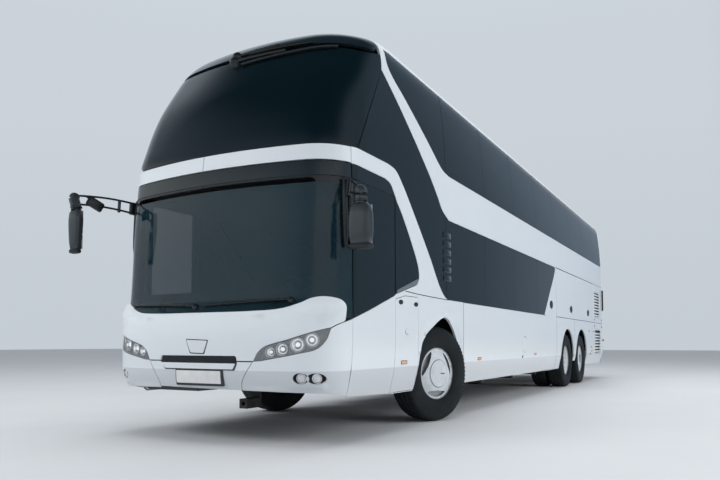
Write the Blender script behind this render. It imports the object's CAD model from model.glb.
"""A double-deck touring coach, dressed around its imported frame.

The coach's front faces -Y, its driver's side is +X and +Z is up. Body outlines are in millimetres:
a station is the distance behind the bumper's face, and a height is above the floor. Every mesh is
in metres, in the frame's own place.
"""

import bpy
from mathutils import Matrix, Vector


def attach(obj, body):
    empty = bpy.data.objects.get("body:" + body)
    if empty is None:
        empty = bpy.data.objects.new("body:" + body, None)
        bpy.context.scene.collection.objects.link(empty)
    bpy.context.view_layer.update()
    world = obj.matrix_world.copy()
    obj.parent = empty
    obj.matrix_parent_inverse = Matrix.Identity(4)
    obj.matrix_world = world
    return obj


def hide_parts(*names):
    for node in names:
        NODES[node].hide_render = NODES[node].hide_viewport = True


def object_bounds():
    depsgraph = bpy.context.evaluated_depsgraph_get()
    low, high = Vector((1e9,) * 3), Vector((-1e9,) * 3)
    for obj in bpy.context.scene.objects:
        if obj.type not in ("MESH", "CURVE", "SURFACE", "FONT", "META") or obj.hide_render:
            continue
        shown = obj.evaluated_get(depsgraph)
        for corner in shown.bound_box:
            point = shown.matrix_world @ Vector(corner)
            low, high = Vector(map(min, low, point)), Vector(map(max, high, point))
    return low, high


bl_info = {
    "name": "Touring Coach",
    "version": (1, 0, 0),
    "blender": (4, 5, 0),
    "location": "View3D > Sidebar > Coach",
    "description": "Dresses a double-deck coach with skin, glass, lamps, wheels and trim",
    "category": "Object",
}

from math import cos, pi, radians, sin

import bmesh
import bpy
import numpy as np
from bpy.props import FloatProperty, FloatVectorProperty, IntProperty, PointerProperty
from mathutils import Matrix, Vector
from mathutils.geometry import delaunay_2d_cdt

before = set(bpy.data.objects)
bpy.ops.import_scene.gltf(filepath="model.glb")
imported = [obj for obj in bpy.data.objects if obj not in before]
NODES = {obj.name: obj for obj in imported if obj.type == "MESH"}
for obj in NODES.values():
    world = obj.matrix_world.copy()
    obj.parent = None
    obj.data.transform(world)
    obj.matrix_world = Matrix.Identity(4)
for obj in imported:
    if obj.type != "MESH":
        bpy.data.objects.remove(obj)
CAD_BOX = [list(corner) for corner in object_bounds()]

MM = 0.001
NOSE_Y = CAD_BOX[1][1] / MM - 14000  # the y of station 0
MATERIALS = {}


# ---- the body's form

# The plan at each height: the nose's station, half the width, the radii of the front and of its
# corners, and the tail's station.
SECTIONS = (
    # height, nose, half_width, front_radius, corner_radius, tail
    (380, 90, 1225, 4500, 420, 13930),
    (460, 30, 1236, 4500, 420, 13960),
    (620, 0, 1258, 4500, 420, 13990),
    (900, 0, 1272, 4500, 420, 14000),
    (1100, 20, 1275, 4500, 420, 14000),
    (1250, 90, 1275, 4500, 420, 14000),
    (2000, 128, 1275, 4500, 420, 14000),
    (2600, 180, 1275, 4500, 420, 14000),
    (2840, 232, 1275, 4200, 480, 14000),
    (3180, 340, 1262, 3800, 540, 13990),
    (3540, 520, 1232, 3300, 610, 13960),
    (3750, 660, 1203, 3200, 630, 13900),
    (3860, 780, 1156, 3150, 650, 13850),
    (3940, 930, 1045, 3100, 660, 13780),
    (3980, 1100, 880, 3050, 670, 13700),
    (4000, 1350, 700, 3000, 680, 13600),
)
TAIL_RADIUS = 180
ROOF_JOINT = 1240  # where the front cap meets the roof
SEAM = 3  # half of a seam between fixed pieces
JOINT_WIDTH = 9  # of a dark joint between fixed panels
SKIN_THICK, LID_THICK, TRIM_THICK = 26, 32, 24
PANE_GAP = 3.5  # round a pane
PANE = {"depth": 0.5, "thick": 6, "edge": 1.5}
SHADE = {"depth": 0.5, "thick": 7, "edge": 1.5}  # a gloss strip over the head of a pane
SCREEN_FRAME = {"depth": 8, "thick": 30, "edge": 1, "step": 90}
SKIRT_CREASE, SKIRT_LEAN = 640, 0.085
SHARP = 35  # degrees between faces whose edge is drawn sharp
SLAT_PITCH, SLAT_LEAN = 72, 24
TWIN_SHIFT = 340  # from the outer to the inner tyre of a pair
NUT_CIRCLE, NUTS = 168, 10
SIDES = ((1, "left"), (-1, "right"))
SLOTS = {
    "paint": "paint", "tyre": "tyre", "rim_metal": "iron", "cover_metal": "iron",
    **dict.fromkeys(
        ("black_trim", "black_matt", "cap_gloss", "rubber", "mirror_paint", "mirror_face"), "black_trim"
    ),
    **dict.fromkeys(("side_glass", "screen_glass", "upper_screen_glass"), "dark_glass"),
}  # the slot that a finish usually goes with


def smooth_profile(rows, count=600):
    """A monotone cubic through the sections, as distances up the profile and the sections there."""
    rows = np.array(rows, float)
    gaps = np.linalg.norm(np.diff(rows[:, :3], axis=0), axis=1)
    along = np.r_[0, np.cumsum(gaps)]
    slopes = np.diff(rows, axis=0) / gaps[:, None]
    tangents = np.zeros_like(rows)
    product = slopes[:-1] * slopes[1:]
    total = slopes[:-1] + slopes[1:]
    tangents[1:-1] = np.where(product > 0, 2 * product / np.where(total == 0, 1, total), 0)
    tangents[0], tangents[-1] = slopes[0], slopes[-1]
    at = np.linspace(0, along[-1], count)
    i = np.clip(np.searchsorted(along, at, "right") - 1, 0, len(gaps) - 1)
    h = gaps[i][:, None]
    t = ((at - along[i]) / gaps[i])[:, None]
    return at, (
        (2 * t**3 - 3 * t**2 + 1) * rows[i]
        + (t**3 - 2 * t**2 + t) * h * tangents[i]
        + (3 * t**2 - 2 * t**3) * rows[i + 1]
        + (t**3 - t**2) * h * tangents[i + 1]
    )


RISE, PROFILE = smooth_profile(SECTIONS)


def rise_at(height):
    """The distance up the profile at a height."""
    return np.interp(height, PROFILE[:, 0], RISE)


class Plan:
    """The body's plan at distances up the profile: its arcs and how far round each one reaches."""

    def __init__(self, rise):
        rise = np.asarray(rise, float)
        columns = [np.interp(rise, RISE, PROFILE[:, column]) for column in range(6)]
        self.height, nose, self.half, self.front, self.corner, self.tail = columns
        self.height = self.height + np.minimum(rise, 0)
        self.centre = nose + self.front
        self.corner_x = self.half - self.corner
        inner = self.front - self.corner
        self.corner_y = self.centre - np.sqrt(inner**2 - self.corner_x**2)
        self.turn = np.arcsin(self.corner_x / inner)
        self.to_corner = self.front * self.turn
        self.to_side = self.to_corner + self.corner * (pi / 2 - self.turn)
        self.to_tail = self.to_side + self.tail - TAIL_RADIUS - self.corner_y
        self.to_rear = self.to_tail + TAIL_RADIUS * pi / 2
        self.whole = self.to_rear + self.half - TAIL_RADIUS

    def place(self, along):
        """x and station at a signed distance round the plan from the nose."""
        side = np.where(along < 0, -1, 1)
        along = np.abs(along)
        front = along / self.front
        corner = self.turn + (along - self.to_corner) / self.corner
        tail = (along - self.to_tail) / TAIL_RADIUS
        zones = [along < self.to_corner, along < self.to_side, along < self.to_tail, along < self.to_rear]
        x = np.select(
            zones,
            [
                self.front * np.sin(front),
                self.corner_x + self.corner * np.sin(corner),
                self.half,
                self.half - TAIL_RADIUS * (1 - np.cos(tail)),
            ],
            self.half - TAIL_RADIUS - (along - self.to_rear),
        )
        station = np.select(
            zones,
            [
                self.centre - self.front * np.cos(front),
                self.corner_y - self.corner * np.cos(corner),
                self.corner_y + along - self.to_side,
                self.tail - TAIL_RADIUS * (1 - np.sin(tail)),
            ],
            self.tail,
        )
        return side * x, station


def around(along, rise):
    """Points in mm at distances round the body from its nose and up its profile."""
    plan = Plan(rise)
    x, station = plan.place(np.asarray(along, float))
    return np.stack([x, NOSE_Y + station, plan.height], axis=-1)


def behind(along, rise):
    """The same from the middle of the tail, where distances grow towards the door side."""
    plan = Plan(rise)
    along = np.asarray(along, float)
    x, station = plan.place(np.where(along > 0, -1, 1) * (plan.whole - np.abs(along)))
    return np.stack([x, NOSE_Y + station, plan.height], axis=-1)


def on_side(side):
    """Turns (station, height) points of one side into distances round and up."""

    def place(points):
        station, height = np.array(points, float).T
        rise = rise_at(height)
        plan = Plan(rise)
        lean = np.clip((plan.corner_y - station) / plan.corner, -1, 1)
        corner = plan.to_corner + plan.corner * (np.arccos(lean) - plan.turn)
        along = np.where(station >= plan.corner_y, plan.to_side + station - plan.corner_y, corner)
        return np.stack([side * along, rise], axis=-1)

    return place


def on_front(points):
    """Turns (x, height) points of the front into distances round and up."""
    x, height = np.array(points, float).T
    rise = rise_at(height)
    plan = Plan(rise)
    reach = np.minimum(np.abs(x), plan.half - 0.5)
    middle = plan.front * np.arcsin(np.minimum(reach / plan.front, 1))
    lean = np.clip((reach - plan.corner_x) / plan.corner, 0, 1)
    corner = plan.to_corner + plan.corner * (np.arcsin(lean) - plan.turn)
    along = np.where(reach < plan.front * np.sin(plan.turn), middle, corner)
    return np.stack([np.sign(x) * along, rise], axis=-1)


def on_rear(points):
    """Turns (x, height) points of the rear into distances round and up."""
    x, height = np.array(points, float).T
    return np.stack([-x, rise_at(height)], axis=-1)


def rear_edge(side, heights, station):
    """Where a station of one side lies, from the middle of the tail."""
    found = on_side(1)([(station, height) for height in heights])
    return np.stack([-side * (Plan(found[:, 1]).whole - found[:, 0]), found[:, 1]], axis=-1)


# ---- outlines


def turns(count):
    """Angles evenly round a circle."""
    return np.linspace(0, 2 * pi, count, endpoint=False)


def unit(vectors):
    """Rows of vectors with a length of one."""
    return vectors / np.linalg.norm(vectors, axis=1, keepdims=True)


def rounded(points, radius):
    """A closed outline with its sharper corners rounded."""
    points = [np.array(point, float) for point in points]
    result = []
    for i, corner in enumerate(points):
        before, after = points[i - 1] - corner, points[(i + 1) % len(points)] - corner
        near, far = np.linalg.norm(before), np.linalg.norm(after)
        cosine = before @ after / (near * far)
        if cosine < -0.985:
            result.append(corner)
            continue
        reach = min(radius, 0.45 * near, 0.45 * far)
        start, stop = corner + before / near * reach, corner + after / far * reach
        for t in np.linspace(0, 1, 6):
            result.append((1 - t) ** 2 * start + 2 * t * (1 - t) * corner + t**2 * stop)
    return [tuple(point) for point in result]


def flowing(points, steps=6):
    """A smooth run through points, as a centripetal curve."""
    points = [np.array(point, float) for point in points]
    points = [2 * points[0] - points[1]] + points + [2 * points[-1] - points[-2]]
    result = []
    for a, b, c, d in zip(points, points[1:], points[2:], points[3:]):
        ends = np.cumsum([0] + [max(np.linalg.norm(q - p), 1e-6) ** 0.5 for p, q in ((a, b), (b, c), (c, d))])
        for t in np.linspace(ends[1], ends[2], steps, endpoint=False):
            ab = ((ends[1] - t) * a + t * b) / ends[1]
            bc = ((ends[2] - t) * b + (t - ends[1]) * c) / (ends[2] - ends[1])
            cd = ((ends[3] - t) * c + (t - ends[2]) * d) / (ends[3] - ends[2])
            abc = ((ends[2] - t) * ab + t * bc) / ends[2]
            bcd = ((ends[3] - t) * bc + (t - ends[1]) * cd) / (ends[3] - ends[1])
            result.append(((ends[2] - t) * abc + (t - ends[1]) * bcd) / (ends[2] - ends[1]))
    result.append(points[-2])
    return [tuple(point) for point in result]


def trace(place, points, step=40, closed=True):
    """An outline put on the body, with a point at least every step."""
    points = np.array(points, float)
    ends = np.roll(points, -1, axis=0) if closed else points[1:]
    result = []
    for start, stop in zip(points, ends):
        count = max(1, int(np.ceil(np.linalg.norm(stop - start) / step)))
        result += [start + (stop - start) * t for t in np.arange(count) / count]
    if not closed:
        result.append(points[-1])
    return place(result)


def front_run(points, step):
    """An open run of points on the front."""
    return trace(on_front, points, step, closed=False)


def grown(points, amount):
    """A closed outline moved outwards by an amount, or inwards if it is negative."""
    loop = facing(np.array(points, float), True)
    return [tuple(point) for point in loop - mitres(loop) * amount]


def beside(points, gap):
    """A run of points moved to its left by a gap."""
    line = np.array(points, float)
    run = unit(np.gradient(line, axis=0))
    return [tuple(point) for point in line + np.stack([-run[:, 1], run[:, 0]], axis=-1) * gap]


def strip(points, width):
    """A closed outline of a width along a run of points."""
    return beside(points, width / 2)[::-1] + beside(points, -width / 2)


def facing(loop, anticlockwise):
    """The loop in the direction that is asked for."""
    x, y = loop.T
    area = np.sum(x * np.roll(y, -1) - np.roll(x, -1) * y)
    return loop if (area > 0) == anticlockwise else loop[::-1]


def distinct(loop):
    """The loop without points that lie on the one before them."""
    loop = np.array(loop, float)
    return loop[np.linalg.norm(loop - np.roll(loop, 1, axis=0), axis=1) > 0.8]


def mitres(loop):
    """The vectors that move each point of a loop inwards by one."""
    edges = np.roll(loop, -1, axis=0) - loop
    lengths = np.maximum(np.linalg.norm(edges, axis=1, keepdims=True), 1e-9)
    normals = np.stack([-edges[:, 1], edges[:, 0]], axis=-1) / lengths
    before = np.roll(normals, 1, axis=0)
    share = 1 + np.sum(before * normals, axis=1, keepdims=True)
    return (before + normals) / np.maximum(share, 0.5)


def inside(points, loops):
    """Which points lie inside loops by the even-odd rule."""
    result = np.zeros(len(points), bool)
    for loop in loops:
        ends = np.roll(loop, -1, axis=0)
        for (ax, ay), (bx, by) in zip(loop, ends):
            if ay == by:
                continue
            crossed = (ay > points[:, 1]) != (by > points[:, 1])
            result ^= crossed & (points[:, 0] < ax + (points[:, 1] - ay) * (bx - ax) / (by - ay))
    return result


def cut_at(points, low, high):
    """The part of an outline between two values of its first coordinate."""
    for limit, sign in ((low, 1), (high, -1)):
        kept = []
        for start, stop in zip(points, points[1:] + points[:1]):
            a, b = sign * (start[0] - limit), sign * (stop[0] - limit)
            if a >= 0:
                kept.append(start)
            if (a < 0) != (b < 0):
                t = a / (a - b)
                kept.append((limit, start[1] + (stop[1] - start[1]) * t))
        points = kept
    return points


# ---- meshes


def placed(name, data):
    """A new object in the scene."""
    made = bpy.data.objects.new(name, data)
    bpy.context.scene.collection.objects.link(made)
    return made


def finish_mesh(name, verts, faces, normals=None):
    """A new smooth object from points in metres, with its own normals where they are given."""
    mesh = bpy.data.meshes.new(name)
    mesh.from_pydata([tuple(v) for v in verts], [], faces)
    mesh.polygons.foreach_set("use_smooth", np.ones(len(mesh.polygons), bool))
    if normals is not None:
        mesh.normals_split_custom_set(normals)
    mesh.update()
    return placed(name, mesh)


def reworked(made, change, angle=SHARP):
    """Changes a mesh, turns its faces outwards and marks edges sharper than an angle."""
    form = bmesh.new()
    form.from_mesh(made.data)
    change(form)
    bmesh.ops.recalc_face_normals(form, faces=form.faces[:])
    form.to_mesh(made.data)
    form.free()
    made.data.polygons.foreach_set("use_smooth", np.ones(len(made.data.polygons), bool))
    made.data.set_sharp_from_angle(angle=radians(angle))
    return made


def piece(made, material, body="body", slot=None, replaces=()):
    """Gives a piece its finish and slot, the body it rides on and the nodes that it stands for."""
    slot = slot or SLOTS.get(material)
    if material:
        made.data.materials.clear()
        made.data.materials.append(MATERIALS[material])
    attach(made, body)
    if replaces:
        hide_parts(*replaces)
    return made


def panel(name, loops, material, body="body", slot=None, replaces=(), **form):
    """A sheet made and finished as a piece."""
    return piece(sheet(name, loops, **form), material, body, slot, replaces)


def lifted(chart, uv, depth, relief=None):
    """Points of a chart in mm, drawn in by depth and pushed out by relief, with their frames."""

    def raise_from(at):
        step = 1.0
        run = unit(chart(at[:, 0] + step, at[:, 1]) - chart(at[:, 0] - step, at[:, 1]))
        climb = unit(chart(at[:, 0], at[:, 1] + step) - chart(at[:, 0], at[:, 1] - step))
        normal = unit(np.cross(run, climb))
        lift = -np.asarray(depth, float).reshape(-1, 1) * np.ones((len(at), 1))
        if relief is not None:
            lift = lift + relief(at[:, 0], at[:, 1]).reshape(-1, 1)
        return chart(at[:, 0], at[:, 1]) + normal * lift, run, climb, normal

    points, run, climb, normal = raise_from(uv)
    if relief is not None:
        step = 4.0
        side = raise_from(uv + [step, 0])[0] - raise_from(uv - [step, 0])[0]
        up = raise_from(uv + [0, step])[0] - raise_from(uv - [0, step])[0]
        normal = unit(np.cross(side, up))
    return points, run, climb, normal


def sheet(name, loops, chart=around, depth=0.0, thick=20.0, step=80.0, edge=3.0, relief=None):
    """A closed panel that follows the body inside its first loop and outside the others.

    Loops are distances round and up. The panel lies between two depths under the body's skin, with
    a rounded edge, and its normals are those of the skin, so that it shades as one smooth surface.
    """
    loops = [facing(distinct(loop), i == 0) for i, loop in enumerate(loops)]
    moves = [mitres(loop) for loop in loops]
    tops = [loop + move * edge for loop, move in zip(loops, moves)]
    rim = np.concatenate(tops)
    low, high = rim.min(0), rim.max(0)
    counts = np.maximum(((high - low) / step).astype(int), 1)
    grid = np.stack(
        np.meshgrid(*(np.linspace(a, b, n + 1)[1:-1] for a, b, n in zip(low, high, counts))), axis=-1
    ).reshape(-1, 2)
    if len(grid):
        grid = grid[inside(grid, tops)]
    if len(grid):
        clear = np.array([np.min(np.sum((rim - point) ** 2, axis=1)) for point in grid])
        grid = grid[clear > (0.45 * step) ** 2]
    starts = np.cumsum([0] + [len(loop) for loop in loops])
    following = np.concatenate([np.roll(np.arange(*span), -1) for span in zip(starts, starts[1:])])
    ties = list(enumerate(following.tolist()))
    flat = np.concatenate([rim, grid]) if len(grid) else rim
    found, _, triangles, origins, _, _ = delaunay_2d_cdt([Vector(v) for v in flat], ties, [], 0, 1e-4)
    uv = np.array([tuple(v) for v in found])
    triangles = np.array([list(t) for t in triangles])
    triangles = triangles[inside(uv[triangles].mean(axis=1), tops)]
    where = {source: index for index, sources in enumerate(origins) for source in sources}
    ring = np.array([where[i] for i in range(len(rim))])

    outer, moved = np.concatenate(loops), np.concatenate(moves)
    top, _, _, top_normal = lifted(chart, uv, depth, relief)
    part = 0.3 * edge
    shoulder, run, climb, skin = lifted(chart, outer + moved * part, depth + part, relief)
    away = unit(-(moved[:, :1] * run + moved[:, 1:] * climb))
    side = lifted(chart, outer, depth + edge, relief)[0]
    bottom_uv = uv.copy()
    bottom_uv[ring] = outer
    bottom = lifted(chart, bottom_uv, depth + thick)[0]

    count, rims = len(uv), len(rim)
    verts = np.concatenate([top, shoulder, side, bottom]) * MM
    base = {"shoulder": count, "side": count + rims, "bottom": count + 2 * rims}
    here = np.arange(rims)
    levels = [ring, base["shoulder"] + here, base["side"] + here, base["bottom"] + ring]
    tones = [top_normal[ring], unit(skin + away), away, away]
    faces = [tuple(t) for t in triangles.tolist()]
    normals = [top_normal[triangles].reshape(-1, 3)]
    for (upper, upper_tone), (lower, lower_tone) in zip(zip(levels, tones), zip(levels[1:], tones[1:])):
        quads = np.stack([upper[following], upper, lower, lower[following]], axis=-1)
        whole = (quads[:, 0] != quads[:, 1]) & (quads[:, 2] != quads[:, 3])
        quads = quads[whole]
        faces += [tuple(q) for q in quads.tolist()]
        tone = np.stack([upper_tone[following], upper_tone, lower_tone, lower_tone[following]], axis=1)
        normals.append(tone[whole].reshape(-1, 3))
    under = triangles[:, ::-1] + base["bottom"]
    faces += [tuple(t) for t in under.tolist()]
    normals.append(-top_normal[triangles[:, ::-1]].reshape(-1, 3))
    return finish_mesh(name, verts, faces, np.concatenate(normals))


def shift(*place):
    """A matrix that moves to x, y and z, or to a vector."""
    return Matrix.Translation(place[0] if len(place) == 1 else place)


def spun(angle, axis):
    """A matrix that turns by degrees about an axis."""
    return Matrix.Rotation(radians(angle), 4, axis)


def upwards(height):
    """A step upwards."""
    return Vector((0, 0, height))


def hoop(x, radius, count):
    """A circle about the X axis."""
    return [(x, radius * cos(a), radius * sin(a)) for a in turns(count)]


class Shape:
    """Collects closed forms, in metres, for one mesh."""

    def __init__(self):
        self.verts = []
        self.faces = []

    def take(self, verts, faces, place=None):
        """Adds points and faces, moved by a matrix."""
        start = len(self.verts)
        place = place or Matrix()
        self.verts += [place @ Vector(v) for v in verts]
        self.faces += [tuple(start + i for i in face) for face in faces]
        return self

    def rings(self, rings, place=None, closed=False):
        """A skin over rings of as many points, its ends filled unless it closes on itself."""
        count = len(rings[0])
        verts = [v for ring in rings for v in ring]
        faces = []
        pairs = len(rings) if closed else len(rings) - 1
        for r in range(pairs):
            a, b = r * count, (r + 1) % len(rings) * count
            faces += [(a + i, a + (i + 1) % count, b + (i + 1) % count, b + i) for i in range(count)]
        if not closed:
            faces.append(tuple(range(count))[::-1])
            faces.append(tuple(range(len(verts) - count, len(verts))))
        return self.take(verts, faces, place)

    def turned(self, profile, segments=48, place=None):
        """A solid of revolution about X, from (x, radius) points in order along it."""
        return self.rings([hoop(x, max(radius, 1e-5), segments) for x, radius in profile], place)

    def ring(self, profile, segments=48, place=None):
        """A ring of revolution about X from a closed (x, radius) outline."""
        return self.rings([hoop(x, radius, segments) for x, radius in profile], place, closed=True)

    def tube(self, points, radius, sides=12):
        """A round rod along points, with a radius or one for each point."""
        points = [Vector(p) for p in points]
        radii = radius if isinstance(radius, (list, tuple)) else [radius] * len(points)
        up = Vector((0, 0, 1))
        rings = []
        for i, point in enumerate(points):
            run = (points[min(i + 1, len(points) - 1)] - points[max(i - 1, 0)]).normalized()
            across = run.cross(up)
            across = across.normalized() if across.length > 0.1 else run.cross(Vector((1, 0, 0))).normalized()
            other = across.cross(run)
            angles = turns(sides)
            rings.append([point + (across * cos(a) + other * sin(a)) * radii[i] for a in angles])
        return self.rings(rings)

    def box(self, size, radius=0.004, place=None, steps=2):
        """A box about its own middle with rounded edges."""
        form = bmesh.new()
        bmesh.ops.create_cube(form, size=1.0, matrix=Matrix.Diagonal((*size, 1)))
        if radius:
            bmesh.ops.bevel(
                form, geom=form.edges[:], offset=min(radius, 0.45 * min(size)), segments=steps,
                affect="EDGES", profile=0.5,
            )
        form.verts.ensure_lookup_table()
        verts = [tuple(v.co) for v in form.verts]
        faces = [tuple(v.index for v in f.verts) for f in form.faces]
        form.free()
        return self.take(verts, faces, place)

    def made(self, name, angle=SHARP):
        """The collected forms as one object, its faces turned outwards."""
        return reworked(finish_mesh(name, self.verts, self.faces), lambda form: None, angle)


def seated(place, point, depth=0.0):
    """A matrix on the body's skin: X out of the skin, Y along it and Z up it."""
    at, run, climb, normal = lifted(around, place([point]), depth)
    basis = Matrix((normal[0], run[0], climb[0])).transposed().to_4x4()
    return shift(Vector(at[0]) * MM) @ basis


# ---- finishes


def add_node(tree, kind, feeds=(), **settings):
    """A new node with its settings, and its inputs linked or set by name or number."""
    made = tree.nodes.new(kind)
    for key, value in settings.items():
        setattr(made, key, value)
    for key, value in dict(feeds).items():
        if isinstance(value, bpy.types.NodeSocket):
            tree.links.new(value, made.inputs[key])
        else:
            made.inputs[key].default_value = value
    return made


class Signal:
    """A shader socket that can be used in Python expressions."""

    def __init__(self, recipe, socket):
        self.recipe = recipe
        self.socket = socket

    def maths(self, operation, other, swapped=False):
        """A Math node on this value and another."""
        values = (other, self) if swapped else (self, other)
        return self.recipe.node("ShaderNodeMath", {"operation": operation}, dict(enumerate(values)))

    def __add__(self, other):
        return self.maths("ADD", other)

    def __sub__(self, other):
        return self.maths("SUBTRACT", other)

    def __mul__(self, other):
        return self.maths("MULTIPLY", other)

    def __rsub__(self, other):
        return self.maths("SUBTRACT", other, swapped=True)

    __radd__ = __add__
    __rmul__ = __mul__

    def clamp(self):
        """This value kept from 0 to 1."""
        return self.recipe.node("ShaderNodeClamp", {}, {0: self})

    def above(self, low, high):
        """0 below low, 1 above high and a smooth step between."""
        settings = {"interpolation_type": "SMOOTHSTEP"}
        return self.recipe.node("ShaderNodeMapRange", settings, {0: self, 1: low, 2: high})


class Recipe:
    """A material and its nodes."""

    def __init__(self, name):
        self.material = bpy.data.materials.new(name)
        self.material.use_nodes = True
        self.tree = self.material.node_tree
        self.shader = next(n for n in self.tree.nodes if n.type == "BSDF_PRINCIPLED")
        MATERIALS[name] = self.material
        coordinates = self.tree.nodes.new("ShaderNodeTexCoord")
        self.place = Signal(self, coordinates.outputs["Object"])

    def node(self, kind, settings, inputs, output=0):
        """A node of a kind, with its settings, and its inputs linked or set; gives one output."""
        feeds = {key: getattr(value, "socket", value) for key, value in inputs.items()}
        return Signal(self, add_node(self.tree, kind, feeds, **settings).outputs[output])

    def axis(self, index):
        """One coordinate of the place on the piece."""
        return self.node("ShaderNodeSeparateXYZ", {}, {0: self.place}, index)

    def scaled(self, factors):
        """The place with each coordinate multiplied."""
        return self.node("ShaderNodeVectorMath", {"operation": "MULTIPLY"}, {0: self.place, 1: factors})

    def noise(self, scale, detail=3.0, roughness=0.55, place=None):
        """Noise from 0 to 1."""
        inputs = {"Vector": place or self.place, "Scale": scale, "Detail": detail, "Roughness": roughness}
        return self.node("ShaderNodeTexNoise", {}, inputs)

    def cells(self, scale, place=None):
        """Distance to the nearest of many scattered points."""
        return self.node("ShaderNodeTexVoronoi", {}, {"Vector": place or self.place, "Scale": scale})

    def mix(self, factor, first, second):
        """A colour between two."""
        first = (*first, 1) if isinstance(first, (tuple, list)) else first
        second = (*second, 1) if isinstance(second, (tuple, list)) else second
        return self.node("ShaderNodeMix", {"data_type": "RGBA"}, {0: factor, 6: first, 7: second}, 2)

    def bump(self, height, strength, distance):
        """Feeds a height to the shader's normal."""
        inputs = {"Height": height, "Strength": strength, "Distance": distance}
        normal = self.node("ShaderNodeBump", {}, inputs)
        self.tree.links.new(normal.socket, self.shader.inputs["Normal"])

    def set(self, **sockets):
        """Sets or links the shader's sockets, named with underscores."""
        for key, value in sockets.items():
            socket = self.shader.inputs[key.replace("_", " ").title().replace("Ior", "IOR")]
            if isinstance(value, Signal):
                self.tree.links.new(value.socket, socket)
            elif isinstance(value, tuple) and len(value) == 3:
                socket.default_value = (*value, 1)
            else:
                socket.default_value = value
        return self.material


def toned(colour, share):
    """A colour made lighter or darker."""
    return tuple(part * share for part in colour)


def dust_low(recipe, top, strength):
    """How much road dust lies on a place: more towards the floor, in soft patches."""
    height = recipe.axis(2)
    patches = recipe.noise(2.5, 5.0, 0.65)
    return ((1 - height.above(0.25, top)) * patches * strength).clamp()


def make_paint(name, colour, roughness=0.22):
    """Glossy coach paint with a faint ripple and road dust along the skirts."""
    recipe = Recipe(name)
    dust = dust_low(recipe, 0.8, 0.08)
    tone = recipe.noise(0.8, 2.0)
    skirt = 1 - recipe.axis(2).above(0.634, 0.642)
    base = recipe.mix(tone, toned(colour, 0.955), colour)
    base = recipe.mix(skirt, base, toned(colour, 0.77))
    recipe.bump(recipe.noise(90.0, 2.0), 0.02, 0.0006)
    recipe.set(
        base_color=recipe.mix(dust, base, (0.36, 0.35, 0.34)),
        roughness=roughness + dust * 0.35 + (recipe.noise(6.0) - 0.5) * 0.05,
        coat_weight=0.6,
        coat_roughness=0.06,
    )


def make_glass(name, tint, alpha, roughness=0.03):
    """Dark tinted glass: it mostly hides what is behind it and mirrors what is before it."""
    recipe = Recipe(name)
    film = recipe.noise(1.4, 4.0, 0.6)
    recipe.set(
        base_color=recipe.mix(film, tint, toned(tint, 1.6)),
        roughness=roughness + film * 0.03,
        alpha=alpha,
        specular_ior_level=0.5,
    )


def make_plastic(name, colour, roughness, grain=0.25, scale=600.0, dusty=0.25):
    """Moulded plastic with a fine grain and a little dust."""
    recipe = Recipe(name)
    dust = dust_low(recipe, 1.2, dusty)
    wear = recipe.noise(9.0, 4.0)
    base = recipe.mix(wear, toned(colour, 0.8), toned(colour, 1.25))
    recipe.bump(recipe.noise(scale, 2.0), grain, 0.0004)
    recipe.set(
        base_color=recipe.mix(dust, base, (0.2, 0.19, 0.18)),
        roughness=(roughness + (wear - 0.5) * 0.16 + dust * 0.2).clamp(),
    )


def make_metal(name, colour, roughness, brushed=0.0, dusty=0.0):
    """Bright metal, plain or finely brushed, with a little dust."""
    recipe = Recipe(name)
    smudge = recipe.noise(11.0, 4.0)
    dust = dust_low(recipe, 0.9, dusty) if dusty else smudge * 0.0
    if brushed:
        recipe.bump(recipe.noise(55.0, 3.0, 0.6, recipe.scaled((1, 14, 14))), brushed, 0.0005)
    recipe.set(
        base_color=recipe.mix(dust, recipe.mix(smudge, toned(colour, 0.86), colour), (0.22, 0.21, 0.2)),
        roughness=(roughness + smudge * 0.1 + dust * 0.4).clamp(),
        metallic=1 - dust * 0.6,
    )


def make_tyre(name):
    """Tyre rubber: near black, matt, dusty where it has rolled."""
    recipe = Recipe(name)
    dust = recipe.noise(5.0, 5.0, 0.65).above(0.42, 0.8) * 0.5
    recipe.bump(recipe.noise(260.0, 3.0), 0.3, 0.0006)
    recipe.set(
        base_color=recipe.mix(dust, (0.008, 0.011, 0.013), (0.03, 0.036, 0.039)),
        roughness=0.72 + dust * 0.2,
        specular_ior_level=0.35,
    )


def make_cast(name, colour, roughness=0.62):
    """Painted or cast chassis metal, rough and dusty."""
    recipe = Recipe(name)
    grime = recipe.noise(4.0, 6.0, 0.7).above(0.4, 0.75)
    recipe.bump(recipe.noise(70.0, 4.0), 0.35, 0.002)
    recipe.set(
        base_color=recipe.mix(grime, colour, (0.09, 0.082, 0.075)),
        roughness=(roughness + grime * 0.25).clamp(),
        metallic=0.25,
    )


def make_fabric(name, colour, accent):
    """Woven seat plush with a small broken stripe."""
    recipe = Recipe(name)
    across = recipe.node(
        "ShaderNodeTexWave", {"bands_direction": "X"}, {"Vector": recipe.place, "Scale": 130.0}
    )
    down = recipe.node(
        "ShaderNodeTexWave", {"bands_direction": "Z"}, {"Vector": recipe.place, "Scale": 130.0}
    )
    weave = across * down
    flecks = recipe.cells(38.0).above(0.12, 0.3)
    recipe.bump(weave, 0.5, 0.0015)
    recipe.set(
        base_color=recipe.mix(flecks, accent, recipe.mix(weave, colour, toned(colour, 1.5))),
        roughness=0.9,
        sheen_weight=0.25,
    )


def make_lamp(name, colour, strength, roughness=0.08):
    """A lit or coloured lens with fine ribs."""
    recipe = Recipe(name)
    ribs = recipe.node("ShaderNodeTexWave", {"bands_direction": "Z"}, {"Vector": recipe.place, "Scale": 45.0})
    recipe.bump(ribs, 0.25, 0.002)
    tone = recipe.mix(ribs, toned(colour, 0.85), colour)
    recipe.set(base_color=tone, roughness=roughness, emission_color=tone, emission_strength=strength)


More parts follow.
